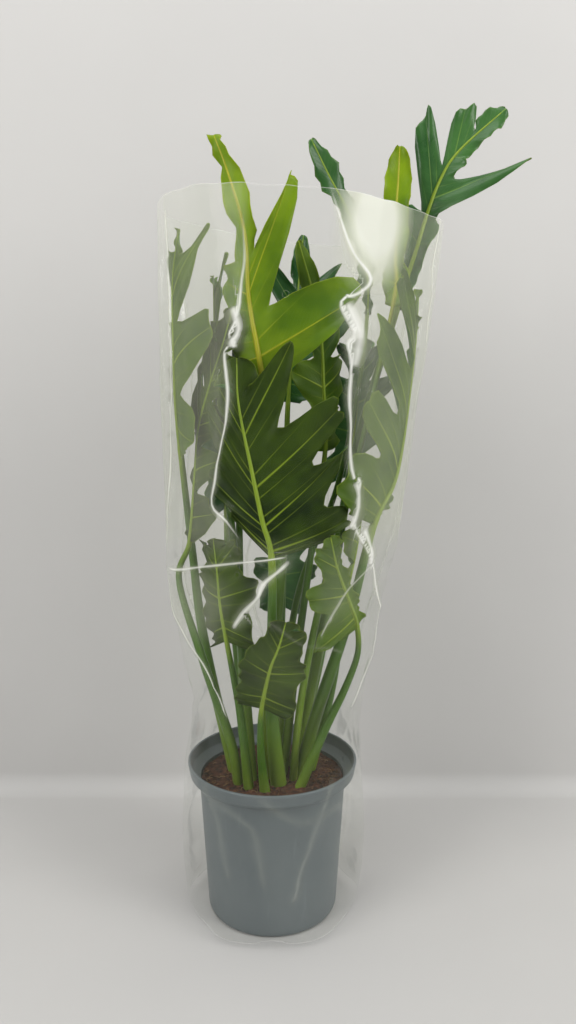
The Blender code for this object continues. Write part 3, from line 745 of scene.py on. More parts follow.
# %% A blade finish
def blade_finish(name, deep, light, vein, rough, coat, vein_share, thin):
    """deep and light are the blade's clouded colours, vein the colour of its ribs."""
    even = {"Coat Weight": coat, "Coat Roughness": 0.22, "Specular IOR Level": 0.22}
    made, shader, place = new_finish(name, even)
    rib, side, net, edge = vein_masks(place)
    cloud, broad, grain = speckle(place, 22, 3), speckle(place, 6, 2), speckle(place, 320)
    colour = blend_colour((cloud * 0.45 + broad * 0.55).ramp(0.40, 0.60), deep, light)
    colour = blend_colour((net * NET_SHARE).clamp(), colour, vein)
    border = line_mask(edge, 0.0016)
    veins = (rib * 1.6 + side * vein_share + border * 0.35).clamp()
    colour = blend_colour(veins, colour, vein)
    colour = blend_colour((grain * 0.25).clamp(), colour, deep)
    feed(shader, "Base Color", colour)
    feed(shader, "Roughness", (cloud * 0.22 + grain * 0.10 + (rough - 0.14)).clamp())
    height = net * -0.35 + side * -0.6 + rib * -0.6 + grain * 0.12
    bump(shader, height if "top" in name else height * -1.0, 0.55, 0.0007)
    through = place.node("ShaderNodeBsdfTranslucent", None, {"Color": (*light, 1)})
    show(mix_shaders(thin, Wire(place.tree, shader.outputs[0]), through))
    return made


# %% The blade finishes
# A lighter copy of the grown finish, given to six of the leaves.
LIGHTER_LEAVES = (
    "leaf_core_front", "leaf_right_inner", "leaf_right_tall", "leaf_left_edge", "leaf_left_inner",
    "leaf_low_right",
)
BLADES = {
    "grown": (
        blade_finish("leaf_grown_top", (0.012, 0.070, 0.012), (0.065, 0.190, 0.040),
                     (0.24, 0.42, 0.06), 0.28, 0.30, 0.70, 0.14),
        blade_finish("leaf_grown_under", (0.009, 0.025, 0.0005), (0.066, 0.120, 0.004),
                     (0.30, 0.42, 0.025), 0.48, 0.0, 1.20, 0.18),
    ),
    "lighter": (
        blade_finish("leaf_fresh_top", (0.030, 0.125, 0.004), (0.120, 0.290, 0.010),
                     (0.42, 0.56, 0.04), 0.30, 0.18, 0.85, 0.20),
        blade_finish("leaf_fresh_under", (0.040, 0.098, 0.003), (0.135, 0.235, 0.008),
                     (0.44, 0.56, 0.04), 0.44, 0.04, 1.10, 0.20),
    ),
    "young": (
        blade_finish("leaf_young_top", (0.115, 0.240, 0.004), (0.350, 0.500, 0.008),
                     (0.68, 0.68, 0.03), 0.30, 0.14, 0.90, 0.22),
        blade_finish("leaf_young_under", (0.100, 0.215, 0.004), (0.290, 0.440, 0.008),
                     (0.64, 0.64, 0.03), 0.40, 0.06, 1.10, 0.22),
    ),
}


# %% Stalk finish
STREAK_GREEN = (0.030, 0.075, 0.010)


def stalk_finish(name, foot, mid, rib):
    """Pale at the foot, green above, and the colour of the ribs along the blade."""
    even = {"Coat Weight": 0.15, "Coat Roughness": 0.2, "Specular IOR Level": 0.3}
    made, shader, place = new_finish(name, even)
    mark, _ = uv_pair(place, "place")
    streak, cloud = speckle(stretched(place, 0.06), 420, 3), speckle(place, 30, 3)
    colour = blend_colour((mark + cloud * 0.18).ramp(0.10, 0.48), foot, mid)
    colour = blend_colour(mark.ramp(0.86, 1.02), colour, rib)
    colour = blend_colour((streak * 0.5).clamp(), colour, STREAK_GREEN)
    feed(shader, "Base Color", colour)
    feed(shader, "Roughness", (cloud * 0.2 + 0.26).clamp())
    bump(shader, streak, 0.25, 0.0005)
    return made


STALKS = {
    name: stalk_finish("stalk_" + name, foot, mid, rib)
    for name, foot, mid, rib in (
        ("grown", (0.24, 0.35, 0.03), (0.068, 0.165, 0.006), (0.30, 0.42, 0.025)),
        ("young", (0.28, 0.39, 0.03), (0.130, 0.270, 0.008), (0.54, 0.52, 0.02)),
    )
}
print("leaf finishes:", len(BLADES) * 2 + len(STALKS))


# %% Grow the leaves
def grow(leaf):
    blade = make_blade(leaf)
    shade = "lighter" if leaf.name in LIGHTER_LEAVES else leaf.tint
    for finish in (*BLADES[shade], STALKS[leaf.tint]):
        blade.data.materials.append(finish)
    blade = applied(blade)
    stalk = make_stalk(leaf)
    for finish in blade.data.materials:
        stalk.data.materials.append(finish)
    join_onto(blade, stalk)
    blade.name = leaf.name + "_fine"
    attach(blade, "root")
    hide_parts(leaf.name)
    "leaf_" + leaf.tint
    return blade


leaves = [grow(Leaf("leaf_" + name, **facts)) for name, facts in LEAVES.items()]
print("leaf faces:", sum(len(o.data.polygons) for o in leaves))

# %% [markdown]
# ## The pot
# A thin moulded nursery pot: a tapered wall, a shoulder, and a collar with a rolled lip. It is
# turned from its outline, outside and inside in one line, and the drain holes are cut in its floor.

# %% Turning a pot
POT_HEIGHT = 0.181
POT_RIM_R = 0.100
POT_BODY_R = 0.0865
POT_BASE_R = 0.077
POT_WALL = 0.0014
POT_FLOOR = 0.0020
POT_SHOULDER_Z = 0.160
POT_COLLAR_Z = 0.166
LIP_HALF = 0.0017
DRAIN_R = 0.005
DRAIN_RING_R = 0.050
DRAIN_COUNT = 6
POT_SIDES = 144


def on_ring(radius, turn, z):
    return Vector((radius * math.cos(turn), radius * math.sin(turn), z))


def turned(name, profile, sides):
    """A closed solid turned round Z from a profile of (radius, height), from axis to axis."""
    points, rings = [], []
    for radius, z in profile:
        if radius == 0:
            rings.append([len(points)])
            points.append(Vector((0, 0, z)))
            continue
        rings.append(list(range(len(points), len(points) + sides)))
        points += [on_ring(radius, math.tau * j / sides, z) for j in range(sides)]
    faces = []
    for low, high in zip(rings, rings[1:]):
        for j in range(sides):
            k = (j + 1) % sides
            if len(low) == 1:
                faces.append((low[0], high[k], high[j]))
            elif len(high) == 1:
                faces.append((low[j], low[k], high[0]))
            else:
                faces.append((low[j], low[k], high[k], high[j]))
    return link_mesh(name, points, faces)


def lip_round(steps):
    """The rolled lip, from the outside of the collar over the top to its inside."""
    middle, low = POT_RIM_R - LIP_HALF, POT_HEIGHT - LIP_HALF
    turns = [math.pi * i / steps for i in range(steps + 1)]
    return [(middle + LIP_HALF * math.cos(t), low + LIP_HALF * math.sin(t)) for t in turns]


pot = turned(
    "pot_fine",
    [
        (0.0, 0.0), (POT_BASE_R - 0.010, 0.0), (POT_BASE_R - 0.004, 0.0004),
        (POT_BASE_R - 0.0012, 0.0016), (POT_BASE_R, 0.0045), (POT_BASE_R + 0.0002, 0.008),
        (POT_BODY_R - 0.0001, POT_SHOULDER_Z - 0.003), (POT_BODY_R + 0.0006, POT_SHOULDER_Z),
        (POT_RIM_R - 0.0040, POT_COLLAR_Z - 0.0014), (POT_RIM_R - 0.0026, POT_COLLAR_Z),
        (POT_RIM_R - 0.0022, POT_COLLAR_Z + 0.002), (POT_RIM_R - 0.0008, POT_HEIGHT - 0.005),
        *lip_round(8),
        (POT_RIM_R - 0.0040, POT_COLLAR_Z + 0.002), (POT_RIM_R - 0.0050, POT_COLLAR_Z + 0.0004),
        (POT_BODY_R - POT_WALL, POT_SHOULDER_Z + 0.001),
        (POT_BASE_R - POT_WALL, 0.008), (POT_BASE_R - POT_WALL - 0.004, POT_FLOOR),
        (0.0, POT_FLOOR),
    ],
    POT_SIDES,
)
for i in range(DRAIN_COUNT):
    drill = turned("drill", [(0, -0.01), (DRAIN_R, -0.01), (DRAIN_R, 0.0035), (0, 0.0035)], 24)
    drill.location = on_ring(DRAIN_RING_R, math.tau * (i + 0.5) / DRAIN_COUNT, 0)
    cut = pot.modifiers.new("drain", "BOOLEAN")
    cut.operation, cut.solver, cut.object = "DIFFERENCE", "EXACT", drill
    bpy.context.view_layer.update()
    applied(pot)
    bpy.data.objects.remove(drill)
pot.data.shade_smooth()
pot.data.set_sharp_from_angle(angle=math.radians(42))
print("pot faces:", len(pot.data.polygons))


# %% [markdown]
# The plastic is a soft blue-grey. It has a faint moulded grain, pale scuffs that run up and down,
# and specks of soil all over it.

# %% Pot finish
PLASTIC_DARK, PLASTIC_PALE = (0.112, 0.136, 0.146), (0.170, 0.194, 0.200)
SCUFF_GREY, SOIL_SPECK = (0.30, 0.33, 0.34), (0.05, 0.032, 0.022)


def pot_finish():
    made, shader, place = new_finish("pot_plastic", {"Specular IOR Level": 0.5})
    cloud, grain = speckle(place, 9, 3), speckle(place, 900, 2)
    worn = speckle(stretched(place, 0.12), 90, 5, 0.7).ramp(0.60, 0.82)
    dirt = speckle(place, 210, 3, 0.7).ramp(0.67, 0.73)
    colour = blend_colour(cloud, PLASTIC_DARK, PLASTIC_PALE)
    colour = blend_colour(worn * 0.35, colour, SCUFF_GREY)
    colour = blend_colour(dirt * 0.6, colour, SOIL_SPECK)
    feed(shader, "Base Color", colour)
    feed(shader, "Roughness", (cloud * 0.15 + worn * 0.2 + 0.36).clamp())
    bump(shader, grain + dirt * 0.8, 0.12, 0.0004)
    return made


pot.data.materials.append(pot_finish())
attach(pot, "root")
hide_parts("pot")

# %% [markdown]
# ## The soil
# Dark peat with bark chips and pale coir threads. Its rough top is a disc of noise that heaps up a
# little round the stalks. Chips and threads are scattered over it by a seeded draw, each its own
# small body, sunk a little way in, and joined into the one piece.

# %% The heap
SOIL_TOP_Z = 0.158
SOIL_RINGS_FINE = 84
SOIL_SIDES_FINE = 168
SOIL_CLEAR = 0.0008
HEAP_LIFT = 0.0035
HEAP_REACH = 0.052


def soil_radius(z):
    """Radius that fills the tapered pot at a height, a little clear of its wall."""
    return POT_BASE_R + (POT_BODY_R - POT_BASE_R) * z / POT_SHOULDER_Z - POT_WALL - SOIL_CLEAR


SOIL_EDGE_R = soil_radius(SOIL_TOP_Z)


def soil_height(x, y):
    """Height of the crumbly top at a point."""
    at = Vector((x, y, 0.0))
    lumps = noise.noise(at * 38) * 0.0024 + noise.noise(at * 110) * 0.0016
    crumb = abs(noise.noise(at * 300)) * 0.0018
    reach = math.hypot(x, y)
    heap = HEAP_LIFT * math.exp(-((reach / HEAP_REACH) ** 2))
    return SOIL_TOP_Z + lumps + crumb + heap - 0.0010 * smooth_step((reach - 0.070) / 0.012)


def on_soil(x, y, lift=0.0):
    return Vector((x, y, soil_height(x, y) + lift))


def make_soil():
    points = [on_soil(0, 0)]
    for i in range(1, SOIL_RINGS_FINE + 1):
        radius = SOIL_EDGE_R * i / SOIL_RINGS_FINE
        for j in range(SOIL_SIDES_FINE):
            turn = math.tau * j / SOIL_SIDES_FINE
            points.append(on_soil(radius * math.cos(turn), radius * math.sin(turn)))
    for radius, z in ((soil_radius(0.10), 0.10), (soil_radius(0.010), 0.010), (0.070, 0.0026)):
        for j in range(SOIL_SIDES_FINE):
            points.append(on_ring(radius, math.tau * j / SOIL_SIDES_FINE, z))
    rings, last = len(points) // SOIL_SIDES_FINE, len(points) - SOIL_SIDES_FINE
    faces = [(0, 1 + j, 1 + (j + 1) % SOIL_SIDES_FINE) for j in range(SOIL_SIDES_FINE)]
    faces += [(a, d, c, b) for a, b, c, d in quads(rings, SOIL_SIDES_FINE, 1)]
    faces.append(tuple(last + j for j in reversed(range(SOIL_SIDES_FINE))))
    return link_mesh("soil_fine", points, faces)


soil = make_soil()

# %% Chips, crumbs and coir threads
CHIP_COUNT = 900
THREAD_COUNT = 150


def scatter_chips(draw):
    """Small angular bodies of bark and crumb on the soil."""
    points, faces = [], []
    for _ in range(CHIP_COUNT):
        reach, turn = SOIL_EDGE_R * 0.975 * math.sqrt(draw.random()), draw.uniform(0, math.tau)
        x, y = reach * math.cos(turn), reach * math.sin(turn)
        size = draw.uniform(0.0006, 0.0019) * (1.6 if draw.random() < 0.08 else 1.0)
        stretch = (draw.uniform(0.7, 2.0), draw.uniform(0.6, 1.2), draw.uniform(0.35, 0.8))
        spin = Matrix.Rotation(draw.uniform(0, math.tau), 3, "Z")
        spin = spin @ Matrix.Rotation(draw.uniform(-0.6, 0.6), 3, "X")
        centre = on_soil(x, y, size * 0.15)
        first = len(points)
        for corner in ((1, 0, 0), (-1, 0, 0), (0, 1, 0), (0, -1, 0), (0, 0, 1), (0, 0, -1)):
            shape = [c * s * size * draw.uniform(0.75, 1.25) for c, s in zip(corner, stretch)]
            points.append(centre + spin @ Vector(shape))
        for a in (0, 1):
            for b, c in ((2, 4), (4, 3), (3, 5), (5, 2)):
                face = (first + a, first + b, first + c)
                faces.append(face if a == 0 else face[::-1])
    return link_mesh("chips", points, faces)


def scatter_threads(draw):
    """Short bent three-sided threads of coir that lie on the soil."""
    points, faces = [], []
    for _ in range(THREAD_COUNT):
        reach, turn = SOIL_EDGE_R * 0.93 * math.sqrt(draw.random()), draw.uniform(0, math.tau)
        x, y, heading = reach * math.cos(turn), reach * math.sin(turn), draw.uniform(0, math.tau)
        thick, step = draw.uniform(0.00016, 0.00034), draw.uniform(0.0010, 0.0022)
        bend = draw.uniform(-0.5, 0.5)
        first = len(points)
        for i in range(6):
            centre = on_soil(x, y, 0.0004 + 0.0008 * math.sin(math.pi * i / 5))
            for j in range(3):
                a = math.tau * j / 3
                across = Vector((-math.sin(heading), math.cos(heading), 0)) * math.cos(a)
                points.append(centre + (across + Vector((0, 0, math.sin(a)))) * thick)
            heading += bend + draw.uniform(-0.3, 0.3)
            x, y = x + step * math.cos(heading), y + step * math.sin(heading)
            scale = min(1.0, SOIL_EDGE_R * 0.98 / max(math.hypot(x, y), 1e-6))
            x, y = x * scale, y * scale
        faces.append((first, first + 2, first + 1))
        faces += quads(6, 3, first)
        faces.append((first + 15, first + 16, first + 17))
    return link_mesh("threads", points, faces)


# %% [markdown]
# The peat is nearly black where it is damp and reddish brown where a crumb has dried. Chips are
# browner, and the threads are straw coloured.


# %% Soil finishes
def crumb_finish(name, dark, dry, scale):
    made, shader, place = new_finish(name)
    patch, grain = speckle(place, scale, 5, 0.7), speckle(place, 1400, 3, 0.7)
    feed(shader, "Base Color", blend_colour(patch.ramp(0.40, 0.66), dark, dry))
    feed(shader, "Roughness", (grain * 0.2 + 0.78).clamp())
    bump(shader, grain + patch, 0.8, 0.0006)
    return made


draw = random.Random(7)
chips, threads = scatter_chips(draw), scatter_threads(draw)
for body, name, dark, dry, grain_scale in (
    (soil, "peat", (0.024, 0.0085, 0.0050), (0.150, 0.052, 0.026), 160),
    (chips, "bark_chip", (0.055, 0.024, 0.012), (0.26, 0.12, 0.055), 90),
    (threads, "coir", (0.26, 0.15, 0.065), (0.55, 0.37, 0.18), 60),
):
    body.data.materials.append(crumb_finish(name, dark, dry, grain_scale))
chips.data.shade_flat()
join_onto(soil, chips, threads)
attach(soil, "root")
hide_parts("soil")
print("soil faces:", len(soil.data.polygons))

# %% [markdown]
# ## The film sleeve
# One sheet of clear film, welded into a tapered tube, hangs round the pot and stands up round the
# leaves. Two sharp creases run down its front. Between them the film is flat and clear; beside them
# it turns away and mirrors the lit room, and much of that reflection is painted on as a veil over
# what is behind. The sheet is drawn from the film's profile, with its creases, soft pleats and a
# fine crinkle that only ever pushes outward.

# %% Film sizes
FILM_SIDES = 320
FILM_STEPS = 290
FILM_FOOT_Z = 0.006
FILM_TOP_Z = 0.797
FILM_TOP_SLOPE = -0.0125
FILM_PLEATS = 6
FILM_PLEAT_DEPTH = 0.005
# Each fold is a line of (degrees round the film, height), how far it stands out, how strong a
# highlight is painted on it and how thick the painted line is, with its lengths in mm. Folds that
# stand out 0 are only painted glints.
FOLDS = [
    ([(angle, z / 1000) for angle, z in path], height / 1000, painted_highlight_strength, thick / 1000)
    for path, height, painted_highlight_strength, thick in (
        (((-114, 800), (-113, 704), (-115, 677), (-118, 662), (-115, 652), (-120, 647),
          (-120, 615), (-119, 580), (-121, 556), (-125, 525), (-126, 495), (-118, 480),
          (-109, 455)), 4.5, 1, 1.5),
        (((-79, 800), (-74, 765), (-67, 737), (-59, 715), (-64, 700), (-70, 692), (-64, 664),
          (-67, 653), (-64, 626), (-60, 531), (-56, 518), (-58, 488)), 4.5, 1, 1.7),
        (((-159, 800), (-156, 700), (-155, 616), (-156, 527), (-161, 421)), 2.5, 0.65, 1.2),
        (((-161, 420), (-135, 428), (-111, 436), (-86, 444)), 3.5, 0.8, 1.3),
        (((-86, 444), (-97, 420), (-100, 403), (-107, 385), (-112, 365)), 4, 1, 2.6),
        (((-161, 420), (-154, 383), (-145, 354), (-135, 321), (-128, 289),
          (-122, 258)), 3.5, 0.8, 1.3),
        (((-58, 488), (-54, 469), (-47, 449), (-35, 405), (-18, 345), (-29, 298),
          (-38, 259)), 3.5, 0.8, 1.4),
        (((-40, 434), (-56, 395), (-65, 353)), 2.5, 0.45, 1.6),
        (((-107, 385), (-90, 372), (-76, 352), (-60, 345), (-47, 330)), 2.5, 0.28, 1.2),
        (((-133, 190), (-120, 132), (-114, 83)), 2, 0.26, 2.8),
        (((-137, 179), (-102, 144), (-94, 77)), 2, 0.24, 2.8),
        (((-47, 195), (-69, 119), (-78, 58)), 2, 0.27, 2.8),
        (((-31, 200), (-45, 94)), 2, 0.22, 2.8),
        (((-98, 183), (-72, 154), (-37, 158)), 2, 0.22, 2.8),
        (((-19, 800), (-18, 732), (-13, 665), (-14, 617), (-21, 526), (-11, 423)), 2.5, 0.65, 1.2),
        (((-68, 694), (-62, 665), (-63, 630)), 0, 0.75, 5),
        (((-117, 690), (-114, 668), (-118, 650)), 0, 0.9, 4),
        (((-58, 520), (-55, 492), (-57, 470)), 0, 0.8, 3.4),
        (((-50, 470), (-44, 448), (-43, 430)), 0, 0.8, 3.2),
        (((160, 800), (150, 600), (158, 420), (140, 300)), 3.5, 0.5, 1.4),
        (((110, 800), (118, 650), (100, 520), (112, 400), (96, 260)), 4.5, 0.5, 1.4),
        (((62, 800), (55, 640), (66, 500), (50, 360), (60, 230)), 4.5, 0.5, 1.4),
        (((20, 800), (26, 600), (14, 450), (30, 300)), 3.5, 0.5, 1.4),
        (((100, 190), (80, 120), (88, 40)), 2, 0.17, 3),
    )
]
FOLD_REACH = 0.017
FOLD_WANDER = 0.0045
FAR_OFF = 14.0
VENT_HOLES = ((-112, 0.424), (-119, 0.308), (-65, 0.499), (-38, 0.206), (-95, 0.700),
              (65, 0.45), (110, 0.62), (150, 0.36), (30, 0.69), (90, 0.27))
VENT_R = 0.0032
# Strength of the film's haze with its painted reflection of the room: on the sides, on the front
# panel and low down.
VEIL_SIDE = 0.21
VEIL_FRONT = 0.0
VEIL_LOW = 0.035
# Patches of painted reflection, as (degrees, height, half width in degrees, half height, strength).
FACETS = (
    (-137, 0.388, 20, 0.038, 0.22), (-55, 0.410, 14, 0.045, 0.11), (-90, 0.320, 20, 0.040, 0.03),
)
# Where a glare is painted on the film, as (degrees, height).
PAINTED_GLARE_AT = (-57, 0.765)


# %% The film's surface
# The radius at which the crinkle's noise is read, the same at every height.
CRINKLE_R = 0.12
# The film is slackest round this height, where the stalks are slimmest.
SLACK_Z, SLACK_REACH = 0.30, 0.11


def ridges(place, scale):
    """Sharp crests of noise between 0 and 1."""
    return (1 - abs(noise.noise(place * scale))) ** 4


def film_point(angle, z):
    middle, radius = oval(FILM_PROFILE, angle, z)
    pleat = (0.5 + 0.5 * math.cos(FILM_PLEATS * angle + 9.0 * z)) ** 1.5
    radius += FILM_PLEAT_DEPTH * pleat
    at = Vector((math.cos(angle) * CRINKLE_R, math.sin(angle) * CRINKLE_R, z))
    slack = 0.25 + 0.75 * math.exp(-(((z - SLACK_Z) / SLACK_REACH) ** 2))
    folds = ridges(at + Vector((3, 1, z * 0.4)), 9) * 0.0040 + ridges(at, 27) * 0.0014
    radius += slack * folds + 0.0004
    return Vector((middle + radius * math.cos(angle), radius * math.sin(angle), z))


def film_ends(angle):
    """Heights of the film's lower and upper edge."""
    turn = Vector((math.cos(angle), math.sin(angle), 0.0))
    low = FILM_FOOT_Z + 0.022 * max(0.0, noise.noise(turn * 1.7 + Vector((0, 0, 5)))) + 0.001
    high = FILM_TOP_Z + FILM_TOP_SLOPE * math.cos(angle) + 0.0015 * noise.noise(turn * 6)
    return low, high


# %% How far each point is from a fold
FILM_MEAN_R = 0.125


def fold_distances(spots, line):
    """Signed distance from (degrees, height) spots to a line on the film, and the share along it.

    The sign changes across the line, so the value runs evenly through 0 between two points.
    """
    nearest, share_along = np.full(len(spots), 1.0), np.zeros(len(spots))
    for step, ((a0, z0), (a1, z1)) in enumerate(zip(line, line[1:])):
        across = np.radians((spots[:, 0] - a0 + 180) % 360 - 180) * FILM_MEAN_R
        up = spots[:, 1] - z0
        dx, dz = math.radians(a1 - a0) * FILM_MEAN_R, z1 - z0
        share = np.clip((across * dx + up * dz) / (dx * dx + dz * dz), 0, 1)
        away = np.hypot(across - share * dx, up - share * dz)
        closer = away < np.abs(nearest)
        nearest = np.where(closer, away * np.where(across * dz > up * dx, 1, -1), nearest)
        share_along = np.where(closer, (step + share) / (len(line) - 1), share_along)
    return nearest, share_along


def soft_step(x):
    x = np.clip(x, 0, 1)
    return x * x * (3 - 2 * x)


def veil_at(spots):
    """How hazy the film is at each spot, with its painted reflection of the room: sides much,
    the front panel hardly. Also how strong the painted glare is.
    """
    left = np.interp(-spots[:, 1], *zip(*sorted((-z, a) for a, z in FOLDS[0][0])))
    right = np.interp(-spots[:, 1], *zip(*sorted((-z, a) for a, z in FOLDS[1][0])))
    inside = soft_step((spots[:, 0] - left + 4) / 5) * soft_step((right - spots[:, 0] + 4) / 5)
    high = soft_step((spots[:, 1] - 0.43) / 0.04)
    behind = soft_step((np.maximum(spots[:, 0], 0) - 20) / 40)
    side = VEIL_LOW + (VEIL_SIDE - VEIL_LOW) * high * (1 - 0.6 * behind)
    veil = side + (VEIL_FRONT - side) * inside * high
    # Patches of painted reflection where a facet of the film faces the light.
    for degrees, z, wide, tall, haze_and_reflection in FACETS:
        away = np.hypot((spots[:, 0] - degrees) / wide, (spots[:, 1] - z) / tall)
        veil += haze_and_reflection * np.exp(-away ** 4)
    # A glare painted round its spot, the second value.
    glare = np.hypot((spots[:, 0] - PAINTED_GLARE_AT[0]) / 17, (spots[:, 1] - PAINTED_GLARE_AT[1]) / 0.055)
    return veil, np.exp(-glare ** 2)


def make_film():
    spots = []
    for i in range(FILM_STEPS + 1):
        for j in range(FILM_SIDES):
            degrees = 360 * j / FILM_SIDES - 180
            low, high = film_ends(math.radians(degrees))
            spots.append((degrees, low + (high - low) * i / FILM_STEPS))
    flat = np.array(spots)
    points = [film_point(math.radians(a), z) for a, z in spots]
    lift, line, shine = np.zeros(len(flat)), np.full(len(flat), FAR_OFF), np.zeros(len(flat))
    uneven = [0.65 + 1.1 * abs(noise.noise(Vector((a * 0.04, z * 20, 2)))) for a, z in spots]
    wander = [FOLD_WANDER * noise.noise(Vector((a * 0.03, z * 24, 5))) for a, z in spots]
    uneven, wander = np.array(uneven), np.array(wander)
    # Each fold lifts the film near its line; shine holds the strength of the highlight painted on
    # it.
    for path, height, painted_highlight_strength, thick in FOLDS:
        away, along = fold_distances(flat, spline(np.array([path[0], *path, path[-1]]), 4))
        lift = np.maximum(lift, height * np.clip(1 - np.abs(away) / FOLD_REACH, 0, 1))
        away = np.clip((away + wander) / (thick * uneven), -FAR_OFF, FAR_OFF)
        taper = np.clip(np.minimum(along, 1 - along) / 0.10, 0.15, 1)
        closer = np.abs(away) < np.abs(line)
        fading = 1 - np.abs(away) / FAR_OFF
        line, shine = np.where(closer, away, line), np.where(closer, painted_highlight_strength * taper * fading, shine)
    for i, (degrees, _) in enumerate(spots):
        turn = math.radians(degrees)
        points[i] += Vector((math.cos(turn), math.sin(turn), 0.0)) * lift[i]
    vents = [fold_distances(flat, ((a, z), (a, z + 1e-5)))[0] for a, z in VENT_HOLES]
    vents = np.min(np.abs(vents), axis=0)
    film = link_mesh("sleeve_film", points, list(quads(FILM_STEPS + 1, FILM_SIDES)))
    add_uv(film.data, "fold", np.column_stack((line, shine)))
    add_uv(film.data, "veil", np.column_stack(veil_at(flat)))
    up = np.repeat(np.arange(FILM_STEPS + 1), FILM_SIDES)
    to_hem = np.minimum(up, FILM_STEPS - up) * (FILM_TOP_Z - FILM_FOOT_Z) / FILM_STEPS
    add_uv(film.data, "vent", np.column_stack((vents, to_hem)))
    return film


film = make_film()

# %% [markdown]
# Clear film is a thin mirror over nothing: mostly see-through, with a gloss that grows towards its
# rim as seen at a slant, and a pale veil that is partly its own haze where it is stretched, folded
# or dusty and partly a painted reflection of the room. The veil is a mask, strong beside the front
# creases. A thin highlight is painted on each crease and along the edges, with painted glare and a
# painted glow round the folds, and soft painted streaks of light over the pot. Small vent
# holes are punched through it.


# %% Film finish
# The colours of the film's haze with its painted reflection, of the clear film, and of the painted
# highlights.
HAZE_AND_REFLECTION_COLOUR = (0.94, 0.96, 0.78, 1)
CLEAR = (0.985, 0.99, 0.985, 1)
PAINTED_HIGHLIGHT_WHITE = (0.98, 0.98, 0.93, 1)
# Less gloss than a plastic index of 1.5 would give, so that the leaves behind keep their green.
FILM_GLOSS_IOR = 1.16
GLOSS_MOST = 0.30


def film_finish():
    made, shader, place = new_finish("clear_film")
    # Each fold's distance and the strength of the highlight painted on it.
    from_fold, painted_highlight_strength = uv_pair(place, "fold")
    veil, glare = uv_pair(place, "veil")
    from_vent, from_hem = uv_pair(place, "vent")
    streaks = speckle(stretched(place, 0.16), 16).ramp(0.42, 0.74)
    cloud = speckle(place, 7, 2)
    from_fold = from_fold.math("ABSOLUTE", from_fold)
    painted_highlight_strength = painted_highlight_strength * (cloud * 0.8 + 0.5)
    # A glare painted on the film, high on the right of its front.
    patch = (glare * (cloud * 1.2 + 0.4)).ramp(0.22, 0.80)
    # Painted highlights: a thin streaked line on each crease and glint, and the painted glare.
    sharp = ((painted_highlight_strength - 0.22) * 1.7).clamp() * (streaks * 0.3 + 0.7)
    painted_highlight_mask = line_mask(from_fold, 1.15) ** 0.85 * sharp + patch ** 3 * 0.45
    # A soft painted glow of light round each fold's painted highlight.
    painted_glow = line_mask(from_fold, 5.0) ** 2 * painted_highlight_strength * 0.50
    ring = line_mask(from_vent.math("ABSOLUTE", from_vent - VENT_R), 0.0007)
    # A painted highlight along the film's upper and lower edge.
    painted_hem_highlight = line_mask(from_hem, 0.0010) * 0.40
    # Haze and painted reflection, with the painted glow and glare and the vent holes' rims.
    haze_and_painted_light = veil * (cloud * 0.9 + streaks * 0.5 + 0.35) + painted_glow + patch * 0.85 + ring * 0.3
    hole = from_vent.math("LESS_THAN", from_vent, VENT_R)
    haze_and_painted_light = haze_and_painted_light.clamp() * (1 - hole)
    # A diffuse, half translucent shader draws the haze and the painted reflection.
    haze_and_reflection = place.node("ShaderNodeBsdfDiffuse", None, {"Color": HAZE_AND_REFLECTION_COLOUR})
    haze_and_reflection = mix_shaders(0.5, haze_and_reflection, place.node("ShaderNodeBsdfTranslucent", None, {"Color": HAZE_AND_REFLECTION_COLOUR}))
    clear = place.node("ShaderNodeBsdfTransparent", None, {"Color": CLEAR})
    # A plain diffuse shader draws the painted highlights.
    white = place.node("ShaderNodeBsdfDiffuse", None, {"Color": PAINTED_HIGHLIGHT_WHITE})
    shine = place.node("ShaderNodeBsdfGlossy", None, {"Color": (1, 1, 1, 1), "Roughness": 0.09})
    slant = place.node("ShaderNodeFresnel", None, {"IOR": FILM_GLOSS_IOR})
    slant = slant.math("MINIMUM", slant, GLOSS_MOST) * (1 - hole)
    painted_highlight_mask = (painted_highlight_mask + painted_hem_highlight).clamp() * (1 - hole)
    show(mix_shaders(slant, mix_shaders(painted_highlight_mask, mix_shaders(haze_and_painted_light, clear, haze_and_reflection), white), shine))
    made.node_tree.nodes.remove(shader)
    return made


film.data.materials.append(film_finish())
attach(film, "root")
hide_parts("sleeve")

# %% [markdown]
# ## Floor, wall and light
# A pale table runs into a pale grey wall close behind the plant. Two broad soft lights from the
# front left and right and a dim one from above leave almost no shadow, and they give the film
# something bright to mirror.


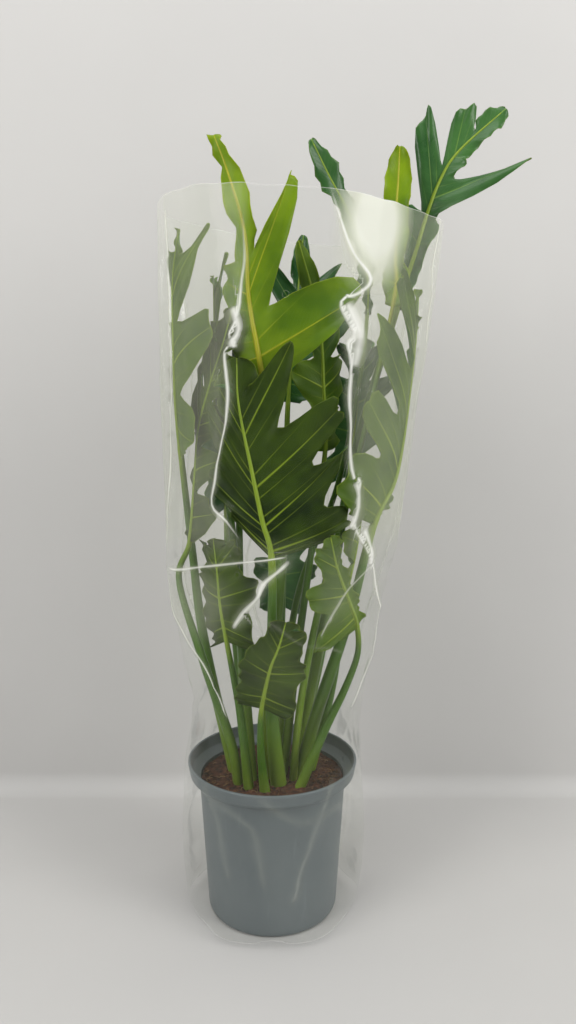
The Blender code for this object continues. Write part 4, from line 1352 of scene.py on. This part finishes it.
# %% Floor and wall
def stage_finish(name, colour):
    """A plain matt finish on the side that faces the plant, and see-through from behind."""
    made, shader, place = new_finish(name, {"Roughness": 0.7})
    darker = tuple(c * 0.93 for c in colour)
    feed(shader, "Base Color", blend_colour(speckle(place, 3, 3), colour, darker))
    behind = place.node("ShaderNodeNewGeometry", out="Backfacing")
    clear = place.node("ShaderNodeBsdfTransparent")
    show(mix_shaders(behind, Wire(place.tree, shader.outputs[0]), clear))
    return made


WALL_Y = 0.27
WALL_TOP_Z = 2.6
FLOOR_FRONT_Y = -2.4
FLOOR_DROP = 0.0004
STAGE_HALF = 2.2
COVE_R = 0.03
COVE_STEPS = 10
cove = [(FLOOR_FRONT_Y, 0.0), (WALL_Y - COVE_R, 0.0)]
cove += [
    (WALL_Y - COVE_R + COVE_R * math.sin(a), COVE_R - COVE_R * math.cos(a))
    for a in (math.pi / 2 * i / COVE_STEPS for i in range(1, COVE_STEPS + 1))
]
cove += [(WALL_Y, WALL_TOP_Z)]
corners = [Vector((x, y, z - FLOOR_DROP)) for y, z in cove for x in (-STAGE_HALF, STAGE_HALF)]
backdrop = link_mesh("backdrop", corners, list(quads(len(cove), 2, closed=False)))
backdrop.data.materials.append(stage_finish("pale_backdrop", (0.60, 0.59, 0.57)))


# %% Lights
def soft_light(name, at, towards, size, power, tint=(1, 1, 1)):
    lamp = bpy.data.lights.new(name, "AREA")
    lamp.shape, lamp.size, lamp.size_y = "RECTANGLE", *size
    lamp.energy, lamp.color = power, tint
    made = bpy.data.objects.new(name, lamp)
    made.location = at
    made.rotation_euler = (Vector(towards) - Vector(at)).to_track_quat("-Z", "Y").to_euler()
    bpy.context.scene.collection.objects.link(made)


soft_light("left_window", (-1.3, -1.1, 1.25), (0, 0, 0.5), (0.8, 1.2), 15.5, (1.0, 0.985, 0.96))
soft_light("right_window", (1.4, -0.9, 1.15), (0, 0, 0.5), (0.7, 1.2), 15.5, (1.0, 0.99, 0.97))
soft_light("ceiling", (0, -0.4, 2.1), (0, 0, 0.4), (1.4, 1.0), 11)
world = bpy.data.worlds.new("room")
bpy.context.scene.world = world
world.use_nodes = True
world.node_tree.nodes["Background"].inputs["Color"].default_value = (0.93, 0.95, 1.0, 1)
world.node_tree.nodes["Background"].inputs["Strength"].default_value = 0.37
bpy.context.scene.view_settings.view_transform = "Standard"
